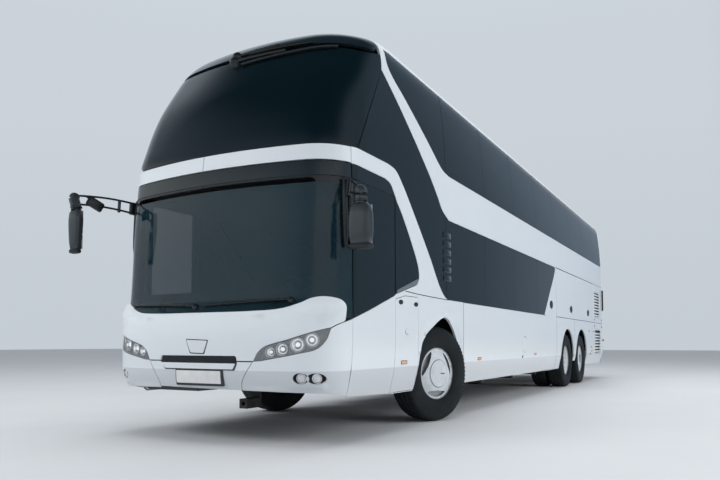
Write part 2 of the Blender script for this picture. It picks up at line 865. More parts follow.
def make_clear(name, alpha):
    """A clear cover over a lamp."""
    recipe = Recipe(name)
    haze = recipe.noise(14.0, 3.0)
    recipe.set(
        base_color=recipe.mix(haze, (0.78, 0.8, 0.82), (0.9, 0.91, 0.92)),
        roughness=0.02 + haze * 0.03,
        alpha=alpha,
        specular_ior_level=0.7,
    )


def make_floor_vinyl(name):
    """Speckled vinyl for steps and decks."""
    recipe = Recipe(name)
    specks = recipe.cells(240.0).above(0.1, 0.22)
    recipe.bump(specks, 0.15, 0.0006)
    recipe.set(base_color=recipe.mix(specks, (0.32, 0.32, 0.33), (0.1, 0.1, 0.105)), roughness=0.68)


def make_studio_floor(name):
    """A pale, faintly mottled floor."""
    recipe = Recipe(name)
    tone = recipe.noise(0.6, 4.0)
    recipe.set(base_color=recipe.mix(tone, (0.62, 0.64, 0.66), (0.7, 0.71, 0.73)), roughness=0.75)


def make_finishes(colours):
    """Every finish of the coach."""
    make_paint("paint", tuple(colours.paint))
    make_paint("paint_plain", toned(colours.paint, 0.97), 0.3)
    make_glass("side_glass", tuple(colours.glass), 0.965)
    make_glass("screen_glass", toned(colours.glass, 3.6), 0.6)
    make_glass("door_glass", tuple(colours.glass), 0.42)
    make_glass("upper_screen_glass", tuple(colours.glass), 0.93)
    make_plastic("black_trim", (0.008, 0.011, 0.013), 0.26, 0.1)
    make_plastic("cap_gloss", (0.006, 0.012, 0.016), 0.1, 0.04, 500.0, 0.0)
    make_plastic("black_matt", (0.012, 0.016, 0.019), 0.6, 0.4, 420.0)
    make_plastic("rubber", (0.008, 0.011, 0.013), 0.7, 0.2)
    make_plastic("housing", (0.008, 0.011, 0.013), 0.8, 0.5, 160.0, 0.6)
    make_plastic("dashboard", (0.035, 0.035, 0.038), 0.55, 0.45, 700.0, 0.0)
    make_plastic("cover_metal", (0.66, 0.7, 0.73), 0.2, 0.03, 300.0, 0.3)
    make_metal("chrome", (0.9, 0.91, 0.92), 0.06)
    make_metal("satin_metal", (0.5, 0.52, 0.54), 0.34, 0.15)
    make_metal("mirror_face", (0.82, 0.84, 0.86), 0.02)
    make_metal("bay_sheet", (0.5, 0.51, 0.52), 0.4, 0.2)
    make_tyre("tyre")
    make_cast("chassis", (0.01, 0.012, 0.014))
    make_cast("iron", (0.05, 0.05, 0.052), 0.7)
    make_fabric("seat_fabric", (0.05, 0.06, 0.09), (0.14, 0.15, 0.19))
    make_lamp("lamp_white", (0.95, 0.97, 1.0), 0.55)
    make_lamp("lamp_red", (0.4, 0.012, 0.012), 0.05)
    make_lamp("lamp_amber", (0.8, 0.42, 0.24), 0.1)
    make_clear("clear_cover", 0.12)
    make_clear("lamp_glass", 0.75)
    make_plastic("plate", (0.8, 0.8, 0.8), 0.4, 0.05)
    make_plastic("lamp_housing", (0.13, 0.15, 0.17), 0.3, 0.2)
    make_plastic("mirror_paint", (0.03, 0.036, 0.042), 0.22, 0.08)
    make_metal("rim_metal", (0.55, 0.56, 0.57), 0.4, 0.1, 0.5)
    make_lamp("lamp_clear", (0.6, 0.6, 0.62), 0.02)
    make_floor_vinyl("vinyl")
    make_studio_floor("studio_floor")


# ---- repeated things


def copies_group(name, inputs, lay_out):
    """A geometry tree that puts its piece on points, as real copies with their own material."""
    group = bpy.data.node_groups.new(name, "GeometryNodeTree")
    sockets = [("Geometry", "OUTPUT", "Geometry", None), ("Geometry", "INPUT", "Geometry", None)]
    sockets += [(label, "INPUT", kind, default) for label, kind, default in inputs]
    for label, way, kind, default in sockets + [("Material", "INPUT", "Material", None)]:
        socket = group.interface.new_socket(label, in_out=way, socket_type="NodeSocket" + kind)
        if default is not None:
            socket.default_value = default
    source = group.nodes.new("NodeGroupInput").outputs
    feeds = {"Instance": source["Geometry"], **lay_out(group, source)}
    copies = add_node(group, "GeometryNodeInstanceOnPoints", feeds)
    real = add_node(group, "GeometryNodeRealizeInstances", {0: copies.outputs[0]})
    feeds = {"Geometry": real.outputs[0], "Material": source["Material"]}
    finish = add_node(group, "GeometryNodeSetMaterial", feeds)
    add_node(group, "NodeGroupOutput", {0: finish.outputs[0]})
    return group


def row_group():
    """Copies in a straight row."""

    def lay_out(group, source):
        feeds = {"Count": source["Count"], "Offset": source["Offset"]}
        return {"Points": add_node(group, "GeometryNodeMeshLine", feeds).outputs[0]}

    return copies_group("Row", [("Count", "Int", 4), ("Offset", "Vector", (0, 0, 0.05))], lay_out)


def turn_group():
    """Copies turned about the X axis, evenly round it."""

    def lay_out(group, source):
        feeds = {"Count": source["Count"], "Offset": (0, 0, 0)}
        points = add_node(group, "GeometryNodeMeshLine", feeds).outputs[0]
        feeds = {0: 2 * pi, 1: source["Count"]}
        share = add_node(group, "ShaderNodeMath", feeds, operation="DIVIDE").outputs[0]
        index = add_node(group, "GeometryNodeInputIndex").outputs[0]
        feeds = {0: index, 1: share, 2: source["First Angle"]}
        angle = add_node(group, "ShaderNodeMath", feeds, operation="MULTIPLY_ADD").outputs[0]
        turn = add_node(group, "ShaderNodeCombineXYZ", {"X": angle}).outputs[0]
        return {"Points": points, "Rotation": turn}

    return copies_group("Turn", [("Count", "Int", 10), ("First Angle", "Float", 0.0)], lay_out)


def repeated(name, template, group, material, place=None, **inputs):
    """A mesh of many copies of a template, which is then removed."""
    modifier = template.modifiers.new("Copies", "NODES")
    modifier.node_group = group
    inputs = {key.replace("_", " "): value for key, value in inputs.items()}
    inputs["Material"] = MATERIALS[material]
    for item in group.interface.items_tree:
        if item.in_out == "INPUT" and item.name in inputs:
            modifier[item.identifier] = inputs[item.name]
    template.update_tag()
    bpy.context.view_layer.update()
    mesh = bpy.data.meshes.new_from_object(template.evaluated_get(bpy.context.evaluated_depsgraph_get()))
    if place is not None:
        mesh.transform(place)
    bpy.data.objects.remove(template)
    mesh.name = name
    return placed(name, mesh)


# ---- the body's outlines


def arc(centre, radius, start, stop, steps=30):
    """Points of an arc, with its angles in degrees."""
    angles = np.radians(np.linspace(start, stop, steps))
    return [(centre[0] + radius * cos(a), centre[1] + radius * sin(a)) for a in angles]


def mirrored(points):
    """A half outline and its other half, from the last point round to the first point's twin."""
    return [(-x, z) for x, z in reversed(points)] + list(points)


def flipped(points, side):
    """Points of the coach's left side, on the side that is asked for."""
    return [(side * x, z) for x, z in points]


def rectangle(low, high):
    """A rectangle from two corners."""
    return [low, (high[0], low[1]), high, (low[0], high[1])]


SCREEN_EDGE = [(640, 2600), (850, 2980), (1050, 3300), (1200, 3530)]
STRIPE = flowing([
    (1206, 3534), (1660, 3200), (2070, 2890), (2330, 2700), (2530, 2530), (2670, 2400), (2880, 2310)
])
SWEEP = flowing([
    (2830, 1370), (2730, 1400), (2580, 1500), (2290, 1810), (1760, 2320), (1590, 2470), (1430, 2580),
    (1250, 2606),
])
TAIL_SWEEP = flowing([(8400, 2310), (8460, 2290), (8370, 2150), (7930, 1740), (7600, 1420), (7550, 1370)])
NOSE_GLASS = [(646, 2606), (852, 2984), (1052, 3304)]
TAIL_ENDS = {1: TAIL_SWEEP, -1: [(7540, 2310), (7540, 1370)]}  # where the lower glass ends
LOWER_GLASS = {side: SWEEP + NOSE_GLASS + STRIPE + TAIL_ENDS[side] for side, _ in SIDES}
UPPER_FRONT = flowing([(1330, 3796), (1360, 3630), (1770, 3380), (2270, 3100), (2670, 2880), (2890, 2840)])
UPPER_GLASS = UPPER_FRONT + [(13740, 2840), (13740, 3796)]
LOWER_JOINTS = [2780, 4200, 5620, 7040]
UPPER_JOINTS = [2780, 4200, 5620, 7040, 8460, 9880, 11300, 12600]
CAB_BACK = flowing(
    [
        (1930, 1480), (1985, 1545), (1985, 1620), (1940, 1720), (1760, 1950), (1610, 2120), (1530, 2200),
        (1450, 2270),
    ],
    4,
)
CAB_HEAD = flowing([(1450, 2270), (1390, 2340), (1310, 2418), (1190, 2446)], 5)
CAB_OPENING = [
    (561, 1085), (880, 1176), (1400, 1336), (1420, 1352)
] + CAB_BACK[:-1] + CAB_HEAD + [(561, 2446)]
CAB_WINDOW = [(561, 1085), (880, 1176), (1400, 1336), (1400, 2308), (561, 2308)]
CAB_QUARTER = [(1412, 1350)] + CAB_BACK + [(1412, 2308)]
QUARTER_WINDOW = rounded(
    flowing([
        (1420, 1352), (1930, 1480), (1985, 1545), (1985, 1620), (1940, 1720), (1760, 1950), (1610, 2120),
        (1500, 2280), (1420, 2370),
    ]),
    12,
)
FRONT_DOOR = rectangle((585, 400), (1405, 2435))
FRONT_DOOR_GLASS = [(625, 1140), (1365, 1350), (1365, 2395), (625, 2395)]
MID_DOOR = rectangle((7600, 400), (8480, 2300))
MID_DOOR_GLASS = rectangle((7640, 1370), (8440, 2260))
EXIT_DOOR = [(7606, 386), (8475, 386), (8475, 2190), (8010, 1690), (7680, 1364), (7606, 1364)]
HATCH = rectangle((8530, 1377), (12600, 2303))
SERVICE_FLAP = [(1413, 386), (1960, 386), (1960, 1345), (1640, 1345), (1413, 1300)]
UPPER_GRILLE = rectangle((12670, 1490), (13500, 2140))
LOWER_GRILLE = rectangle((12700, 610), (13600, 1220))
FILLER = ((6210, 850), 125)
FRONT_ARCH = ((2700, 460), 700)
DRIVE_ARCH = ((9530, 530), 630)
TAG_ARCH = ((11000, 530), 650)
ARCH_LINE = flowing([
    (1944, 380), (1966, 480), (2006, 680), (2045, 845), (2085, 900), (2180, 965), (2376, 1055), (2603, 1143),
    (2700, 1163), (2790, 1150), (2880, 1112), (2970, 1050), (3065, 955), (3190, 815), (3290, 690),
    (3345, 560), (3355, 460), (3350, 380),
])
ARCH_CREASE = [(2600, 1150), (2700, 1188), (2790, 1207), (2880, 1216), (3335, 1228)]
SKIRT_EDGE = ARCH_LINE + arc(*DRIVE_ARCH, 193.77, -2.73, 50) + arc(*TAG_ARCH, 182.65, -13.34, 50)
MASK_TOP = flowing([
    (0, 1143), (538, 1147), (814, 1165), (976, 1214), (1047, 1248), (1137, 1262), (1205, 1243), (1242, 1190),
    (1257, 1120), (1262, 1062),
])
LAMP_TOP = flowing([(594, 714), (640, 790), (700, 838), (936, 906), (1211, 999)])
LAMP_LOW = flowing([(1211, 997), (1187, 897), (1129, 823), (1018, 790), (594, 711)])
FOG_LAMPS = [(1014, 577), (1122, 576)]
FOG_HOLE, FOG_POCKET = (62, 47), (70, 54)
FLAP_EDGE = flowing([(596, 716), (530, 620), (482, 535), (472, 466)])
LOWER_SCREEN_HOLE = [(1060, 1330), (1060, 2296)]
UPPER_SCREEN_HOLE = [(1040, 2680), (960, 3600)]
REAR_WINDOW = rectangle((-950, 2940), (950, 3640))
ENGINE_LID = rectangle((-900, 765), (900, 2215))
TAIL_LAMP = rectangle((1085, 1450), (1225, 2150))


def bumps(*terms):
    """The sum of several reliefs."""

    def relief(along, rise):
        return sum(term(along, rise) for term in terms)

    return relief


def skirt_lean(along, rise):
    """The panels lean in below a crease along the skirts."""
    return -SKIRT_LEAN * np.maximum(rise_at(SKIRT_CREASE) - rise, 0)


def flare(centre, radius, width, height):
    """A soft lip round a wheel arch."""

    def relief(along, rise):
        place = np.stack([np.abs(along), rise], axis=-1)
        middle = on_side(1)([centre])[0]
        gap = np.linalg.norm(place - middle, axis=1) - radius
        return height * np.clip(1 - gap / width, 0, 1) * np.clip(gap / 4 + 1, 0, 1)

    return relief


def swell(amount, across, up):
    """A bulge that grows away from the middle and upwards, each between two limits on the front."""
    (start, low), (stop, high) = on_front([(across[0], up[0]), (across[1], up[1])])

    def relief(along, rise):
        shares = [
            np.clip((value - a) / (b - a), 0, 1)
            for value, a, b in ((np.abs(along), start, stop), (rise, low, high))
        ]
        return amount * np.prod([t * t * (3 - 2 * t) for t in shares], axis=0)

    return relief


def groove(points, depth, width, place=on_front, twin=True):
    """A groove along a line of points."""
    line = place(points)

    def relief(along, rise):
        at = np.stack([np.abs(along) if twin else along, rise], axis=-1)
        gap = np.full(len(at), 1e9)
        for start, stop in zip(line, line[1:]):
            run = stop - start
            t = np.clip(((at - start) @ run) / (run @ run), 0, 1)
            gap = np.minimum(gap, np.linalg.norm(at - start - t[:, None] * run, axis=1))
        return -depth * np.clip(1 - gap / width, 0, 1)

    return relief


SIDE_RELIEF = bumps(
    skirt_lean, flare(FRONT_ARCH[0], FRONT_ARCH[1], 85, 7.0), groove(ARCH_CREASE, 5.0, 16, on_side(1))
)


def side_skin(side, tag, step):
    """The white panels of one side, with holes for what opens."""
    start = [(558, 409), (1100, 389), (1400, 380)] if side > 0 else [(558, 404), (590, 380)]
    outline = start + SKIRT_EDGE + [(13797, 380), (13797, 3797), (13743, 3797), (13743, 2837)]
    outline += [(s, z - 3) for s, z in reversed(UPPER_FRONT)][:-1] + [(1327, 3797), (1243, 3797)]
    outline += STRIPE + TAIL_ENDS[side] + SWEEP + [(643, 2603), (558, 2600)]
    holes = [rounded(grown(HATCH, 5), 30), rounded(UPPER_GRILLE, 25), rounded(LOWER_GRILLE, 25)]
    if side > 0:
        outline += [(s - 3 if s < 600 else s, z) for s, z in grown(CAB_OPENING, 3)[::-1]]
        holes += [
            rounded(grown(EXIT_DOOR, 5), 24),
            rounded(grown(SERVICE_FLAP, 5), 24),
            arc(FILLER[0], FILLER[1] + 4, 0, 352.5, 48),
        ]
    else:
        holes += [QUARTER_WINDOW, rounded(grown(FRONT_DOOR, 5), 40), rounded(grown(MID_DOOR, 5), 40)]
    loops = [trace(on_side(side), outline)] + [trace(on_side(side), hole) for hole in holes]
    panel(
        f"side_skin_{tag}", loops, "paint", thick=SKIN_THICK, step=step, relief=SIDE_RELIEF,
        replaces=[f"side_wall_{tag}"],
    )


def seams(name, side, runs):
    """Thin dark joints between fixed panels, as one piece."""
    parts = []
    for run in runs:
        loop = trace(on_side(side), strip(run, JOINT_WIDTH), 60)
        parts.append(sheet("seam", [loop], depth=-0.5, thick=28, step=300, edge=0.4, relief=SIDE_RELIEF))
    piece(joined_normals(name, parts), "rubber")


def roof_skin():
    """The roof over the upper glass, and the dark cap ahead of it down to the windscreen."""
    levels = 18
    low_front, low_side = rise_at(3704), rise_at(3803)
    plan = Plan(low_side)
    share, side_end, tail_end = (
        float(v / plan.whole) for v in (on_side(1)([(1243, 3803)])[0][0], plan.to_tail, plan.to_rear)
    )
    runs = ((0, share - 0.0004, 26), (share, side_end, 60), (side_end, tail_end, 14), (tail_end, 1, 8))
    left = np.unique(np.concatenate([np.linspace(*run) for run in runs]))
    shares = np.concatenate([left, -left[1:-1][::-1]])
    lows = np.where(np.abs(shares) < share - 0.0002, low_front, low_side)
    rises = lows[:, None] + (RISE[-1] - lows)[:, None] * np.linspace(0, 1, levels)[None, :]
    flat = np.stack(
        [(shares[:, None] * Plan(rises).whole).ravel(), np.minimum(rises.ravel(), RISE[-1] - 1.5)], axis=-1
    )
    verts = np.concatenate([lifted(around, flat, depth)[0] for depth in (0, 25)]) * MM
    count = len(flat)
    index = np.arange(count).reshape(-1, levels)
    following = np.roll(index, -1, axis=0)
    quads = np.stack(
        [index[:, :-1], following[:, :-1], following[:, 1:], index[:, 1:]], axis=-1
    ).reshape(-1, 4)
    rim = np.stack([following[:, 0], index[:, 0], index[:, 0] + count, following[:, 0] + count], axis=-1)
    faces = [tuple(q) for part in (quads, quads[:, ::-1] + count, rim) for q in part.tolist()]
    faces += [tuple(index[:, -1].tolist()), tuple((index[::-1, -1] + count).tolist())]
    for name, node, finish, station, ahead in (
        ("roof_skin", "roof", "paint", ROOF_JOINT + SEAM, False),
        ("roof_cap_skin", "roof_cap", "cap_gloss", ROOF_JOINT - SEAM, True),
    ):

        def split(form):
            whole = form.verts[:] + form.edges[:] + form.faces[:]
            at = (0, (NOSE_Y + station) * MM, 0)
            sides = {"clear_inner": not ahead, "clear_outer": ahead}
            bmesh.ops.bisect_plane(form, geom=whole, plane_co=at, plane_no=(0, 1, 0), **sides)
            bmesh.ops.holes_fill(form, edges=[edge for edge in form.edges if edge.is_boundary], sides=0)

        made = reworked(finish_mesh(name, verts, faces), split)
        piece(made, finish, replaces=[node])


# ---- front


def oval(middle, reach, hand, count):
    """An oval on one side of the front."""
    (x, z), (wide, tall) = middle, reach
    return on_front([(hand * (x + wide * cos(a)), z + tall * sin(a)) for a in turns(count)])


def front_skin():
    """The mask, the bumper's corners, the middle flap and the band, with seams between them."""
    side = {hand: on_side(hand) for hand in (1, -1)}
    notch = [(0, 762), (414, 762), (429, 754), (437, 722), (441, 720), (596, 720)]
    mask_low = notch + [(x, z + 4) for x, z in LAMP_TOP[1:]] + [(1257, 1050)]
    lower = front_run(mirrored(mask_low), 30)
    upper = front_run(mirrored(MASK_TOP)[::-1], 30)
    loop = np.concatenate([lower, upper])
    crease = [(0, 1088), (538, 1092), (814, 1112), (960, 1155)]
    brow = [(480, 905), (700, 962), (936, 1020), (1150, 1090)]
    panel(
        "mask", [loop], "paint", thick=60, step=40, edge=4,
        relief=bumps(groove(crease, 3.5, 9), groove(brow, 1.6, 60), swell(60, (1000, 1240), (985, 1190))),
        replaces=["front_panels"],
    )
    for hand, tag in SIDES:
        low = [(472, 464), (700, 460), (1010, 452), (1180, 440)]
        points = [FLAP_EDGE[0]] + [(x, z - 4) for x, z in LAMP_LOW[-2::-1]] + [(1250, 1034)]
        rim = front_run(flipped(points, hand), 30)
        edge = side[hand]([(552, 1079), (552, 900), (552, 700), (552, 500), (552, 411)])
        under = front_run(flipped(low[::-1], hand), 30)
        seam = front_run(flipped([(x, z - 2) for x, z in reversed(FLAP_EDGE)], hand), 30)
        outline = np.concatenate([rim, edge, under, seam[1:-1]])
        fogs = [oval(lamp, FOG_HOLE, hand, 36) for lamp in FOG_LAMPS]
        lip = groove([(522, 497), (1161, 474), (1184, 503), (1141, 606)], 5.0, 13)
        shelf = groove([(640, 637), (1151, 640)], 2.5, 10)
        panel(
            f"bumper_{tag}", [outline] + fogs, "paint", thick=TRIM_THICK, step=40,
            relief=bumps(skirt_lean, lip, shelf), replaces=["front_bumper"],
        )
    flap_edge = [(x - 5, z) for x, z in FLAP_EDGE]
    top = [(0, 704), (433, 704), (442, 711)]
    flap = trace(on_front, mirrored(top + [(x, min(z, 711)) for x, z in flap_edge])[1:], 30)
    press = bumps(
        skirt_lean, groove([(0, 486), (420, 492)], 2.5, 10), groove([(368, 690), (356, 505)], 2.5, 12)
    )
    panel(
        "front_flap_skin", [flap], "paint", "front_flap", thick=TRIM_THICK, step=40, relief=press,
        replaces=["front_flap"],
    )
    panel(
        "mask_slot", [trace(on_front, rounded(rectangle((-446, 694), (446, 772)), 12), 40)], "cap_gloss",
        depth=16, thick=10, step=60, edge=2,
    )
    band_seams = [(-1300, -103), (-97, 1300)]
    for (low, high), name in zip(band_seams, ("band_right", "band_left")):
        ends = []
        for limit, heights in ((low, (2596, 2456)), (high, (2456, 2596))):
            if abs(limit) > 1200:
                hand = 1 if limit > 0 else -1
                ends.append(side[hand]([(552, z) for z in heights]))
            else:
                ends.append(on_front([(limit, z) for z in heights]))
        loop = np.concatenate(ends)
        panel(
            name, [trace(np.array, loop, 60)], "paint", thick=TRIM_THICK, step=60, replaces=["front_panels"]
        )


def plate_and_badge():
    """A plain bar over a blank plate in its dark holder, and a plain badge."""
    bar = rounded([(-362, 650), (404, 648), (430, 698), (-416, 700)], 9)
    for name, outline, radius, depth, thick, material, body in (
        # name, outline, corner radius, depth, thickness, finish, body
        (
            "bar_seat", [(-374, 640), (416, 638), (446, 704), (-430, 706)], 9, -3, 10, "black_trim",
            "front_flap",
        ),
        ("flap_bar", bar, 1, -14, 14, "paint", "front_flap"),
        ("plate_holder", rectangle((-238, 500), (302, 646)), 12, -3, 20, "black_matt", "front_flap"),
        ("number_plate", rectangle((-228, 522), (276, 632)), 8, -6, 8, "plate", "front_flap"),
        ("badge_seat", [(-70, 780), (97, 775), (139, 901), (-121, 910)], 16, -1, 12, "black_trim", "body"),
        ("badge", [(-61, 789), (88, 784), (128, 893), (-111, 902)], 14, -5, 14, "paint_plain", "body"),
    ):
        panel(
            name, [trace(on_front, rounded(outline, radius), 40)], material, body,
            "paint" if material == "paint" else "black_trim", depth=depth, thick=thick, edge=2, step=160,
        )


def dish(shape, radius, depth, place, segments=40):
    """An open-fronted bowl with a wall thickness, facing +X."""
    outer = []
    for t in np.linspace(0, 1, 8):
        outer.append((-depth * sin(t * pi / 2), radius * (1.0 - 0.55 * (1 - cos(t * pi / 2)))))
    profile = [(0.004, radius + 0.004), (0.004, radius)] + [(x, r - 0.001) for x, r in outer] + [
        (-depth - 0.002, 0.0)
    ]
    back = [(-depth - 0.006, 0.0)] + [(x - 0.004, r + 0.004) for x, r in reversed(outer)]
    return shape.ring([(x, max(r, 1e-4)) for x, r in profile + back], segments, place)


def front_lamps():
    """Four round lamps in each headlamp under a clear cover, and two fog lamps."""
    lamps = [((741, 796), 40), ((849, 821), 50), ((987, 858), 58), ((1103, 897), 56)]
    for hand, tag in SIDES:
        outline = flipped(LAMP_TOP + LAMP_LOW[1:-1], hand)
        small = grown(outline, -5)
        wide = grown(outline, 6)
        panel(
            f"headlamp_back_{tag}", [trace(on_front, wide, 30)], "lamp_housing", depth=62, thick=10, step=40,
            edge=1, slot="clear_lamp", replaces=["headlamps"],
        )
        loops = [trace(on_front, wide, 30), trace(on_front, small, 30)]
        panel(
            f"headlamp_wall_{tag}", loops, "lamp_housing", depth=8, thick=56, step=60, edge=0.5,
            slot="clear_lamp",
        )
        bowls, bulbs, rings = Shape(), Shape(), Shape()
        for point, size in lamps:
            place = seated(on_front, (hand * point[0], point[1]), 34)
            dish(bowls, size * MM, 0.03, place)
            rings.ring(
                [
                    (0.002, (size + 5) * MM), (0.008, (size + 5) * MM), (0.008, (size - 1) * MM),
                    (0.002, (size - 1) * MM),
                ],
                40, place,
            )
            bulbs.turned(
                [
                    (-0.024, 0.0), (-0.024, size * 0.34 * MM), (-0.010, size * 0.36 * MM),
                    (-0.002, size * 0.2 * MM), (0.0, 0.0),
                ],
                24, place,
            )
        piece(bowls.made(f"reflectors_{tag}"), "chrome", slot="clear_lamp")
        piece(rings.made(f"lamp_rings_{tag}"), "satin_metal", slot="clear_lamp")
        piece(bulbs.made(f"bulbs_{tag}"), "lamp_white", slot="clear_lamp")
        panel(
            f"headlamp_cover_{tag}", [trace(on_front, small, 30)], "clear_cover", depth=1, thick=5, step=30,
            edge=1.5, slot="clear_lamp",
        )
        fog_bowl, fog_lens = Shape(), Shape()
        for x, z in FOG_LAMPS:
            place = seated(on_front, (hand * (x + 8), z), 20)
            dish(fog_bowl, 0.038, 0.02, place, 32)
            fog_lens.turned(
                [(-0.01, 0.0), (-0.01, 0.034), (0.0, 0.034), (0.007, 0.022), (0.009, 0.0)], 32, place
            )
        for i, lamp in enumerate(FOG_LAMPS):
            loop = oval(lamp, FOG_POCKET, hand, 30)
            panel(f"fog_pocket_{tag}_{i + 1}", [loop], "black_matt", depth=45, thick=8, edge=1)
        piece(fog_bowl.made(f"fog_bowls_{tag}"), "chrome", slot="clear_lamp")
        piece(fog_lens.made(f"fog_lenses_{tag}"), "lamp_glass", slot="clear_lamp")


# ---- glass


def glass_pane(name, outline, side, replaces=("side_glass",), body="body", step=110, radius=18):
    """A pane that follows the body's side."""
    loop = trace(on_side(side), rounded(grown(outline, -PANE_GAP), radius), 50)
    return panel(name, [loop], "side_glass", body, step=step, replaces=replaces, **PANE)


def backing(name, outline, holes, side, body="body"):
    """The black frame that panes are bonded to."""
    loops = [trace(on_side(side), rounded(grown(outline, 9), 20), 60)]
    loops += [trace(on_side(side), rounded(hole, 35), 80) for hole in holes]
    return panel(name, loops, "black_trim", body, depth=8, thick=20, step=130, edge=1)


def side_glazing():
    """Panes, and the black frame behind them, on both sides."""
    for side, tag in SIDES:
        lower = LOWER_GLASS[side]
        ends = [500] + LOWER_JOINTS + [9000]
        for i, (start, stop) in enumerate(zip(ends, ends[1:])):
            glass_pane(f"lower_pane_{tag}_{i + 1}", cut_at(lower, start + 0.5, stop - 0.5), side)
        last = [(7100, 1430), (7480, 1430), (7480, 2250), (7100, 2250)]
        if side > 0:
            last = [(7100, 1430), (7500, 1430), (8250, 2150), (8280, 2250), (7100, 2250)]
        holes = [
            [(800, 2680), (1320, 2680), (1650, 2520), (2725, 1490), (2725, 2330), (2360, 2580), (1215, 3420)],
            rectangle((2835, 1430), (4145, 2250)),
            rectangle((4255, 1430), (5565, 2250)),
            rectangle((5675, 1430), (6985, 2250)),
            last,
        ]
        backing(f"lower_frame_{tag}", lower, holes, side)
        ends = [1000] + UPPER_JOINTS + [14000]
        for i, (start, stop) in enumerate(zip(ends, ends[1:])):
            glass_pane(f"upper_pane_{tag}_{i + 1}", cut_at(UPPER_GLASS, start + 0.5, stop - 0.5), side)
        holes = [[(1450, 3736), (1450, 3640), (2725, 2930), (2725, 3736)]]
        holes += [rectangle((a + 55, 2900), (b - 55, 3736)) for a, b in zip(ends[1:-2], ends[2:-1])]
        holes.append(rectangle((ends[-2] + 55, 2900), (13680, 3736)))
        backing(f"upper_frame_{tag}", UPPER_GLASS, holes, side)
    glass_pane("quarter_pane_right", QUARTER_WINDOW, -1)
    quarter = [(1500, 1430), (1900, 1530), (1900, 1640), (1500, 2160)]
    backing("quarter_frame_right", QUARTER_WINDOW, [quarter], -1)
    glass_pane("cab_pane", CAB_WINDOW, 1)
    glass_pane("quarter_pane_left", CAB_QUARTER, 1)
    backing("cab_frame", CAB_OPENING, [[(640, 1180), (1330, 1390), (1330, 2250), (640, 2250)], quarter], 1)
    head = [(561, 2314), (1406, 2314)] + CAB_HEAD[2:] + [(561, 2446)]
    panel("cab_header", [trace(on_side(1), grown(head, -3), 50)], "cap_gloss", step=90, **SHADE)


def screens():
    """Both windscreens, with the black frame behind their edges."""
    side = {hand: on_side(hand) for hand in (1, -1)}
    edge = [point for point in beside(MASK_TOP, 6) if point[1] > 1098 or point[0] < 900]
    low = front_run(mirrored(edge), 40)
    up = [(549, z) for z in (1092, 1250, 1400, 1800, 2150, 2310)]
    loop = np.concatenate([low, side[1](up), side[-1](up[::-1])])
    panel("lower_windscreen", [loop], "screen_glass", step=60, replaces=["windscreen_lower"], **PANE)
    hole = trace(on_front, rounded(mirrored(LOWER_SCREEN_HOLE), 60), 60)
    wide = [(553, z) for z in (1080, 1400, 1800, 2150, 2452)]
    base = front_run(mirrored([point for point in beside(MASK_TOP, -10) if point[1] > 1085]), 40)
    head = np.concatenate([side[1]([(549, 2316), (549, 2444)]), side[-1]([(549, 2444), (549, 2316)])])
    panel("screen_header", [trace(np.array, head, 60)], "cap_gloss", step=60, **SHADE)
    frame_loop = np.concatenate([base, side[1](wide), side[-1](wide[::-1])])
    panel("lower_screen_frame", [frame_loop, hole], "black_trim", replaces=["front_frame"], **SCREEN_FRAME)
    edge = flowing([(s - 3, z + 4) for s, z in SCREEN_EDGE] + [(1226, 3697)])
    loop = np.concatenate([front_run([(-1000, 2605), (1000, 2605)], 50), side[1](edge), side[-1](edge[::-1])])
    panel("upper_windscreen", [loop], "upper_screen_glass", step=60, replaces=["windscreen_upper"], **PANE)
    hole = trace(on_front, rounded(mirrored(UPPER_SCREEN_HOLE), 60), 60)
    wide = [(s - 1, z - 2) for s, z in SCREEN_EDGE] + [(1226, 3701)]
    frame_loop = np.concatenate([
        front_run([(-1000, 2601), (1000, 2601)], 50), side[1](wide), side[-1](wide[::-1])
    ])
    panel("upper_screen_frame", [frame_loop, hole], "black_trim", replaces=["front_frame"], **SCREEN_FRAME)


# ---- doors, hatches and flaps


def opening_panels():
    """Everything in the sides that opens."""
    lids = [
        # node, side, outline, corner radius
        ("exit_door", 1, EXIT_DOOR, 24),
        ("luggage_hatch_left", 1, HATCH, 30),
        ("luggage_hatch_right", -1, HATCH, 30),
        ("service_flap", 1, SERVICE_FLAP, 24),
    ]
    for node, side, outline, radius in lids:
        loop = trace(on_side(side), rounded(outline, radius), 50)
        panel(
            f"{node}_skin", [loop], "paint", node, thick=LID_THICK, step=90, relief=SIDE_RELIEF,
            replaces=[node],
        )
    loop = on_side(1)(arc(FILLER[0], FILLER[1] - 2, 0, 352.5, 48))
    panel("filler_flap_skin", [loop], "paint", "filler_flap", thick=14, step=40, replaces=["filler_flap"])
    back = on_side(1)(arc(FILLER[0], FILLER[1] + 12, 0, 352.5, 48))
    panel("filler_bowl", [back], "black_matt", depth=40, thick=8, step=60)
    for node, outline, glass in (
        ("front_door", FRONT_DOOR, FRONT_DOOR_GLASS), ("mid_door", MID_DOOR, MID_DOOR_GLASS)
    ):
        loops = [trace(on_side(-1), rounded(outline, 35), 50), trace(on_side(-1), rounded(glass, 30), 50)]
        panel(
            f"{node}_skin", loops, "paint", node, thick=LID_THICK, step=90, relief=SIDE_RELIEF,
            replaces=[node],
        )
        piece(glass_pane(f"{node}_pane", glass, -1, (), node), "door_glass", node)
        inset = grown(glass, -60)
        backing(f"{node}_frame", glass, [inset], -1, node)


